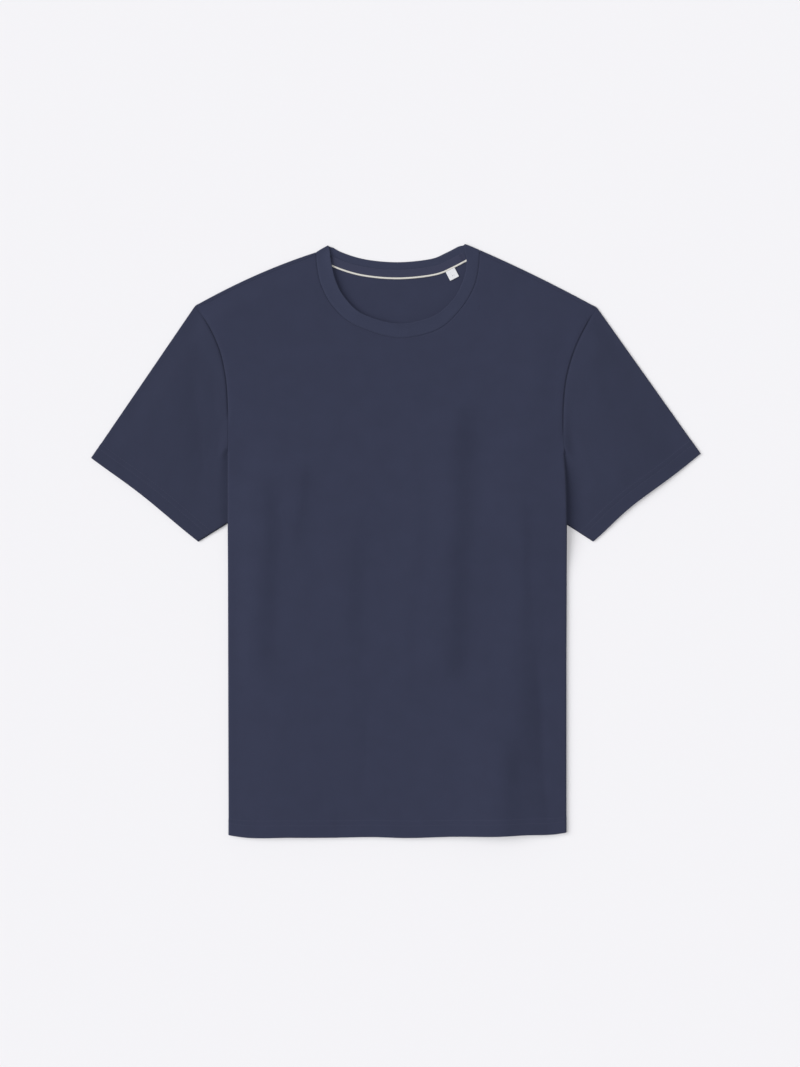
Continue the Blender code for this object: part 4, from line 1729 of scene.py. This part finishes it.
    def levels(self, line: Array, start: Array, along: Array, to_cuff: Array) -> list[Array]:
        """Works out how high the middles of both plies lie.

        Args:
            line: The points' places, on the right side of the shirt.
            start: The height at which each line across the sleeve leaves the inner end.
            along: The points' distances from the inner end.
            to_cuff: Their distances from the cuff's edge.

        Returns:
            The back ply's levels and the front ply's.
        """
        plan = self.pattern
        lift = self.seam_lift(start) * smooth_step(self.lift_reach, 0.0, along)
        beyond = line[..., 0] - plan.half_width(self.flank, line[..., 1])
        sewn = smooth_step(plan.fold_top - self.seam_fade, plan.fold_top + self.seam_fade, start)
        free = sewn + (1.0 - sewn) * smooth_step(0.0, self.free_reach, beyond)
        top = smooth_step(0.0, self.top_reach, np.linalg.norm(line - line[:, :1], axis=-1))
        cuff = self.cuff_loft + (1.0 - self.cuff_loft) * smooth_step(0.0, self.cuff_reach, to_cuff)
        levels = []
        for ply in Ply:
            rise = self.drape.rise(ply, line * (self.flank.value, 1.0)) * top * free * cuff
            levels.append(plan.middle_level(ply) + rise + lift + ply.value * self.ridge(line[..., 1], beyond))
        return levels

    def ridge(self, height: Array, beyond: Array) -> Array:
        """Gives how far the bulk of the tucked end raises the front ply beside the body's fold.

        Args:
            height: Heights above the hem.
            beyond: Distances out from the fold.

        Returns:
            The rises.
        """
        rise, groove, reach = FLANK_SIZES[self.flank].tuck_ridge, self.ridge_groove, self.ridge_reach
        low, full, fading, end = self.ridge_heights
        up = smooth_step(low, full, height) * smooth_step(end, fading, height)
        covered = smooth_step(-self.seam_fade, 0.0, beyond)
        out = np.maximum(beyond, 0.0)
        return rise * up * (1.0 - np.exp(-((out / groove) ** 2))) * covered * np.exp(-((out / reach) ** 2))

    def seam_lift(self, start: Array) -> Array:
        """Gives how far the body lifts the sleeve's inner end, down to where it goes under.

        Args:
            start: Heights of the inner end.

        Returns:
            The lifts.
        """
        plan = self.pattern
        height = np.maximum(start, plan.fold_top)
        lift = plan.lift(self.flank, plan.half_width(self.flank, height), height)
        return lift * smooth_step(plan.fold_top - self.lift_start, plan.fold_top + self.seam_fade, start)

    def _fold(self, places: Array, levels: Array, turns: Array) -> Array:
        """Turns the cloth over along the top edge.

        Args:
            places: The top line's places.
            levels: The height of the fold's centre at each.
            turns: The angles of the facets' edges, down from the front.

        Returns:
            The points of the fold, (places, turns, 3).
        """
        radius = self.pattern.turn_radius
        flat = places[:, None] + self.outward() * (radius * np.sin(turns))[:, None]
        level = levels[:, None] + radius * np.cos(turns)
        return np.concatenate([flat, level[..., None]], axis=-1)

    def build(self, dresser: Dresser) -> bpy.types.Object:
        """Builds and dresses the sleeve and the stitches of its hem.

        Args:
            dresser: Gives the pieces their finishes.

        Returns:
            The sleeve's object.
        """
        name = self.flank.name.lower()
        wall = self.wall()
        sleeve = wall.mesh_object(f"sleeve_{name}_jersey")
        # the sleeve takes the jersey with painted shade, darker than the body's
        dresser.dress(sleeve, SHADED_SLEEVE_JERSEY, f"sleeve_{name}")
        run = arc_lengths(wall.middle[:, 0])
        stitches = self.hem.stitches(f"sleeve_{name}_stitches", wall, 1.0, run[-1] - run)
        dresser.dress(stitches, SEWING_THREAD)
        return sleeve


@dataclass
class NeckRib:
    """The doubled rib ring round the neck, turned over at both corners."""

    pattern: Pattern
    drape: Drape
    rib_pitch: float = 0.0017
    rib_height: float = 0.00016
    rib_fades: Place = (0.0015, 0.0012)
    steps_a_rib: int = 6
    crown: float = 0.00030
    lean: float = 0.0027
    lean_power: float = 3.0
    lean_from: Place = (0.01, 0.07)
    lean_until: Place = (0.40, 0.85)
    corner_share: float = 0.06
    corner_trim: float = 0.0014
    trim_reach: float = 0.004
    edge_radius: float = 0.0007
    seam_radius: float = 0.0012
    readings: int = 400
    turn_facets: int = 12
    # lines of points round the ring: from its seam, evenly between, and back from its free edge
    seam_lines: tuple[float, ...] = (0.0, 0.00005, 0.00015, 0.0004, 0.0008, 0.0013, 0.0020)
    even_lines: tuple[float, float, int] = (0.0035, 0.003, 5)
    edge_lines: tuple[float, ...] = (0.0015, 0.0008, 0.00045, 0.0002, 0.00005, 0.0)
    flat_size: Place = (0.500, 0.0175)

    def lines(self) -> tuple[Array, ...]:
        """Works out the ring's cross lines.

        Returns:
            The seam's places, the free edge's, the levels of the wall's middle, how much each
            line leans up to its free edge and how much of it is the front half, in order round
            the ring: front, right corner, back, left corner.
        """
        plan, radius = self.pattern, self.pattern.turn_radius
        turns = np.linspace(0.0, math.pi, self.turn_facets + 1)[1:-1]
        parts = []
        for ply in (Ply.FRONT, Ply.BACK):
            t, seam, edge, outward = self._half(ply)
            lean = smooth_step(*self.lean_from, t) * smooth_step(*self.lean_until[::-1], t) * ply.value
            level = np.full(len(t), plan.middle_level(ply))
            parts.append((seam, edge, level, lean, np.full(len(t), float(ply.value))))
            reach = radius * np.sin(turns)[:, None] * outward
            rise = radius * np.cos(turns) * (2 * ply.value - 1)
            level = 0.5 * plan.wall + radius + rise
            front = 0.5 + 0.5 * rise / radius
            parts.append((seam[-1] + reach, edge[-1] + reach, level, np.zeros_like(rise), front))
        return tuple(np.concatenate(part) for part in zip(*parts))

    def _half(self, ply: Ply) -> tuple[Array, Array, Array, Array]:
        """Works out the cross lines of the front or the back half, up to the corners' turns.

        Args:
            ply: The half.

        Returns:
            The lines' shares of the way across, the seam's places, the free edge's and the
            direction out from the last line.
        """
        plan = self.pattern
        t = np.linspace(0.0, 1.0, self.readings)
        seam, edge = plan.rib(ply, t)
        run = arc_lengths(0.5 * (seam + edge))
        steps = int(run[-1] / self.rib_pitch) * self.steps_a_rib
        t = np.interp(np.linspace(0.0, run[-1], steps), run, t)
        t = t if ply is Ply.FRONT else t[::-1]
        seam, edge = plan.rib(ply, t)
        across = unit(edge - seam)
        seam = seam - across * (0.5 * plan.gap + plan.seam_overlap)
        outward = right_of(across) * np.where(t < 0.5, -1.0, 1.0)[:, None]
        ends = smooth_step(self.corner_share, 0.0, t)
        ends = np.maximum(ends, smooth_step(1.0 - self.corner_share, 1.0, t))
        inset = outward * ((plan.turn_radius + 0.5 * plan.wall) * ends)[:, None]
        seam, edge = seam - inset, edge - inset
        run = arc_lengths(edge)
        trim = self.corner_trim * np.exp(-((np.minimum(run, run[-1] - run) / self.trim_reach) ** 2))
        return t, seam, edge - across * trim[:, None], outward[-1]

    def wall(self) -> Wall:
        """Works out the ring with its ribs, its crown and its lean.

        Returns:
            The ring's wall.
        """
        plan = self.pattern
        seam, edge, level, lean, front = self.lines()
        width = float(np.mean(np.linalg.norm(edge - seam, axis=1)))
        start, before_end, count = self.even_lines
        even = np.linspace(start, width - before_end, count)
        reach = np.concatenate([self.seam_lines, even, width - np.array(self.edge_lines)])
        share = reach / width
        flat = seam[:, None] + (edge - seam)[:, None] * share[:, None]
        rise = front[:, None] * self.drape.front(flat) + (1.0 - front[:, None]) * self.drape.back(flat)
        rise = rise + self.lean * lean[:, None] * share**self.lean_power
        middle = plan.placed(flat, level[:, None] + rise)
        run = arc_lengths(middle[:, len(share) // 2])
        half = 0.5 * plan.wall
        near, far = self.rib_fades
        ribs = self.rib_height * (0.5 + 0.5 * np.cos(2.0 * math.pi * run / self.rib_pitch))[:, None]
        ribs = ribs * smooth_step(0.0, near, reach) * smooth_step(width, width - far, reach)
        free = rounding(width - reach, self.edge_radius)
        outer = half + ribs + self.crown * np.sin(math.pi * share) ** 0.5
        outer = outer * np.minimum(rounding(reach, self.seam_radius), free)
        inner = (half + 0.5 * ribs) * np.minimum(rounding(reach, 0.5 * half), free)
        cloth = np.stack(np.broadcast_arrays(run[:, None], reach[None]), axis=-1)
        return Wall(middle, outer, inner, cloth, facing=-1.0, ring=True)

    def build(self, dresser: Dresser) -> bpy.types.Object:
        """Builds and dresses the ring.

        Args:
            dresser: Gives the piece its finish.

        Returns:
            The ring's object.
        """
        ring = self.wall().mesh_object("neck_rib")
        dresser.dress(ring, RIB_KNIT, "neckband")
        return ring


@dataclass
class NeckTrim:
    """What is sewn to the inside of the back neck: a tape, its cream edging and a size label."""

    pattern: Pattern
    tape: Place = (0.0092, 0.0188)
    tape_swell: float = 0.00010
    tape_lines: int = 24
    tape_stitch: StitchLine = StitchLine(pitch=0.0026, length=0.0021)
    stitched_lines: tuple[int, int] = (4, -5)
    edging: Place = (0.0188, 0.0211)
    edging_swell: float = 0.00045
    edging_lines: int = 14
    ends: Place = (-0.0815, 0.0890)
    end_spare: float = 0.004
    tuck_length: float = 0.0060
    tuck_depth: float = 0.00062
    tuck_thinning: float = 0.78
    stations: int = 120
    # where the back rib's edge is read: first share, last share, number of places
    strip_readings: tuple[float, float, int] = (0.04, 0.96, 500)
    frame_step: float = 0.01
    flat_width: float = 0.0100
    tape_cover: float = 0.96
    edging_cover: float = 0.32
    label_place: float = 0.0567
    label_size: float = 0.0122
    label_overlap: float = 0.0002
    label_thickness: float = 0.35
    label_curl: float = 0.0006
    label_tilt: float = 0.5
    label_lines: int = 24
    label_readings: tuple[float, float, int] = (0.3, 0.96, 300)
    label_flat: Place = (0.0125, 0.0125)
    mark_bars: tuple[Place, ...] = ((-0.0009, 0.0018), (0.0009, 0.0018))
    mark_drop: float = 0.0014
    mark_rise: float = 0.00004
    mark_radius: float = 0.00038
    mark_sunk: float = 0.00010

    def strip(self, limits: Place, swell: float, lines: int) -> Wall:
        """Works out a strip that follows the back neck.

        Args:
            limits: Its two edges, measured down from the rib's free edge.
            swell: How far its middle stands proud of the cloth's level.
            lines: The number of lines of points along it.

        Returns:
            The strip's wall.
        """
        plan = self.pattern
        t = np.linspace(*self.strip_readings)
        edge, down, _ = self.frame(t)
        x = (edge + down * 0.5 * sum(limits))[:, 0]
        edge, down, _ = self.frame(np.interp(np.linspace(*self.ends, self.stations), x, t))
        width = limits[1] - limits[0]
        share = rounded_shares(lines)
        flat = edge + down * (limits[0] + width * share)[:, None, None]
        run = arc_lengths(flat[lines // 2])
        to_end = np.minimum(run, run[-1] - run)
        tuck = smooth_step(self.tuck_length, 0.5 * self.tuck_length, to_end)
        middle = plan.placed(flat, plan.middle_level(Ply.FRONT) - self.tuck_depth * tuck)
        half = 0.5 * plan.wall
        across = rounding(width * np.minimum(share, 1.0 - share), min(half, 0.5 * width))[:, None]
        ends = rounding(to_end, half) * (1.0 - self.tuck_thinning * tuck)
        above = (half + swell * np.sin(math.pi * share)[:, None]) * across * ends
        cloth = np.stack(np.broadcast_arrays(run[None], (width * share)[:, None]), axis=-1)
        return Wall(middle, above, half * across * ends, cloth, facing=-1.0)

    def frame(self, t: Array) -> tuple[Array, Array, Array]:
        """Gives places on the back rib's free edge and the directions down and along it.

        Args:
            t: Shares of the way from the left corner to the right one.

        Returns:
            The places, the directions down the inside of the back and those along the edge.
        """
        shares = (t - self.frame_step, t, t + self.frame_step)
        before, edge, after = (self.pattern.rib(Ply.BACK, share)[1] for share in shares)
        along = unit(after - before)
        return edge, right_of(along), along

    def label(self) -> tuple[Wall, Array, Array, Array]:
        """Works out the folded size label, which hangs from the edging.

        Returns:
            Its wall, the middle of its face and the directions along and down it.
        """
        plan, size = self.pattern, self.label_size
        t = np.linspace(*self.label_readings)
        at = np.interp([self.label_place], self.frame(t)[0][:, 0], t)
        edge, down, along = (part[0] for part in self.frame(at))
        start = edge + down * (self.edging[1] - self.label_overlap)
        share = rounded_shares(self.label_lines)
        u, v = np.meshgrid(share - 0.5, share)
        flat = start + (along * u[..., None] + down * v[..., None]) * size
        level = plan.middle_level(Ply.FRONT) + self.label_curl * v**2 * (1.0 + self.label_tilt * u)
        middle = plan.placed(flat, level)
        half = self.label_thickness * plan.wall
        edges = size * np.minimum(np.minimum(0.5 - np.abs(u), 1.0 - v), v)
        thick = half * rounding(edges, half)
        wall = Wall(middle, thick, thick, np.stack([u, v], axis=-1) * size, facing=-1.0)
        centre = middle[self.label_lines // 2, self.label_lines // 2] + (0.0, 0.0, half)
        return wall, centre, np.array((*along, 0.0)), np.array((*down, 0.0))

    def mark(self, centre: Array, along: Array, down: Array) -> bpy.types.Object:
        """Sews the label's plain mark of short bars.

        Args:
            centre: The middle of the label's face.
            along: The direction along the label.
            down: The direction down it.

        Returns:
            The mark's object.
        """
        rows = []
        up = np.array((0.0, 0.0, 1.0))
        for offset, length in self.mark_bars:
            middle = centre + down * self.mark_drop + along * offset + up * self.mark_rise
            ends = np.array([middle - down * 0.5 * length, middle + down * 0.5 * length])
            bar = StitchLine(length, length, self.mark_radius, self.mark_sunk)
            rows.append(bar.along(ends, np.array([up, up])))
        return stitched("size_mark", rows)

    def build(self, dresser: Dresser) -> None:
        """Builds and dresses the tape, the edging, the label and its mark.

        Args:
            dresser: Gives the pieces their finishes.
        """
        tape = self.strip(self.tape, self.tape_swell, self.tape_lines)
        piece = tape.mesh_object("neck_tape_weave")
        dresser.dress(piece, TAPE_WEAVE, "neck_tape")
        surface, normals = tape.surface(1.0), tape.normals()
        rows = [self.tape_stitch.along(surface[line], normals[line]) for line in self.stitched_lines]
        stitches = stitched("neck_tape_stitches", rows)
        dresser.dress(stitches, SEWING_THREAD)
        edging = self.strip(self.edging, self.edging_swell, self.edging_lines).mesh_object("neck_edging_cord")
        dresser.dress(edging, CREAM_SATIN, "neck_edging")
        wall, centre, along, down = self.label()
        label = wall.mesh_object("size_label_satin")
        dresser.dress(label, LABEL_SATIN, "size_label")
        mark = self.mark(centre, along, down)
        dresser.dress(mark, MARK_THREAD)


@dataclass
class Studio:
    """A pale floor, soft light from the left and a camera straight above."""

    floor_size: float = 12.0
    floor_drop: float = 0.0005
    floor_colour: Colour = (0.80, 0.795, 0.82)
    floor_roughness: float = 0.9
    floor_grain: float = 0.004
    grain_scale: float = 300.0
    key_strength: float = 2.2
    key_spread: float = 50.0
    key_elevation: float = 44.0
    key_bearing: float = 168.0
    top_strength: float = 1.2
    top_spread: float = 14.0
    ambient: Colour = (1.0, 1.0, 1.0)
    ambient_strength: float = 0.27
    camera_height: float = 3.0
    frame_height: float = 1.3063
    centre: Place = (0.0049, 0.0087)
    sensor: float = 36.0

    def build(self) -> None:
        """Builds the floor, the lights and the camera."""
        self.floor()
        self.lights()
        self.camera()

    def floor(self) -> None:
        """Lays the floor just under the shirt."""
        signs = np.array([(-1.0, -1.0, 0.0), (1.0, -1.0, 0.0), (1.0, 1.0, 0.0), (-1.0, 1.0, 0.0)])
        corners = 0.5 * self.floor_size * signs
        plane = mesh_object("floor", corners, np.array([[0, 1, 2, 3]]), corners[:, :2])
        plane.location.z = -self.floor_drop
        graph = NodeGraph("floor_paper")
        _, _, place = graph.cloth_place()
        grain = graph.times(graph.noise(place, self.grain_scale), self.floor_grain)
        graph.shade(self.floor_colour, graph.plus(grain, 1.0 - 0.5 * self.floor_grain))
        graph.surface(self.floor_roughness)
        plane.data.materials.append(graph.material)

    def lights(self) -> None:
        """Sets a broad soft light from the left, one from above and a faint one all round."""
        self.lamp("key", self.key_strength, self.key_spread, self.key_elevation)
        self.lamp("top", self.top_strength, self.top_spread, 90.0)
        world = bpy.data.worlds.new("studio")
        world.use_nodes = True
        background = world.node_tree.nodes["Background"]
        background.inputs["Color"].default_value = (*self.ambient, 1.0)
        background.inputs["Strength"].default_value = self.ambient_strength
        bpy.context.scene.world = world
        bpy.context.scene.view_settings.view_transform = "Standard"

    def lamp(self, name: str, strength: float, spread: float, elevation: float) -> None:
        """Adds a distant light.

        Args:
            name: The light's name.
            strength: Its strength, in watts a square metre.
            spread: How broad it looks, in degrees.
            elevation: Its height over the floor, in degrees.
        """
        light = bpy.data.lights.new(name, "SUN")
        light.energy = strength
        light.angle = math.radians(spread)
        lamp = bpy.data.objects.new(name, light)
        lamp.rotation_euler = (math.radians(90.0 - elevation), 0.0, math.radians(self.key_bearing + 90.0))
        bpy.context.scene.collection.objects.link(lamp)

    def camera(self) -> None:
        """Sets the camera above the shirt, looking straight down."""
        data = bpy.data.cameras.new("camera")
        data.sensor_width = self.sensor
        data.lens = self.sensor * self.camera_height / self.frame_height
        data.dof.use_dof = False
        camera = bpy.data.objects.new("camera", data)
        camera.location = (*self.centre, self.camera_height)
        bpy.context.scene.collection.objects.link(camera)
        bpy.context.scene.camera = camera


def clear_scene() -> None:
    """Removes the startup scene's objects."""
    for thing in list(bpy.data.objects):
        bpy.data.objects.remove(thing, do_unlink=True)


def main() -> None:
    """Loads the frame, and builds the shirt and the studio."""
    logging.basicConfig(level=logging.INFO, format="%(name)s %(message)s")
    clear_scene()
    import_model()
    Studio().build()
    pattern = Pattern()
    drape = Drape(pattern)
    dresser = Dresser()
    for ply in Ply:
        BodyPanel(pattern, drape, ply).build(dresser)
    for flank in Flank:
        Sleeve(pattern, drape, flank).build(dresser)
    NeckRib(pattern, drape).build(dresser)
    NeckTrim(pattern).build(dresser)


if __name__ == "__main__":
    main()
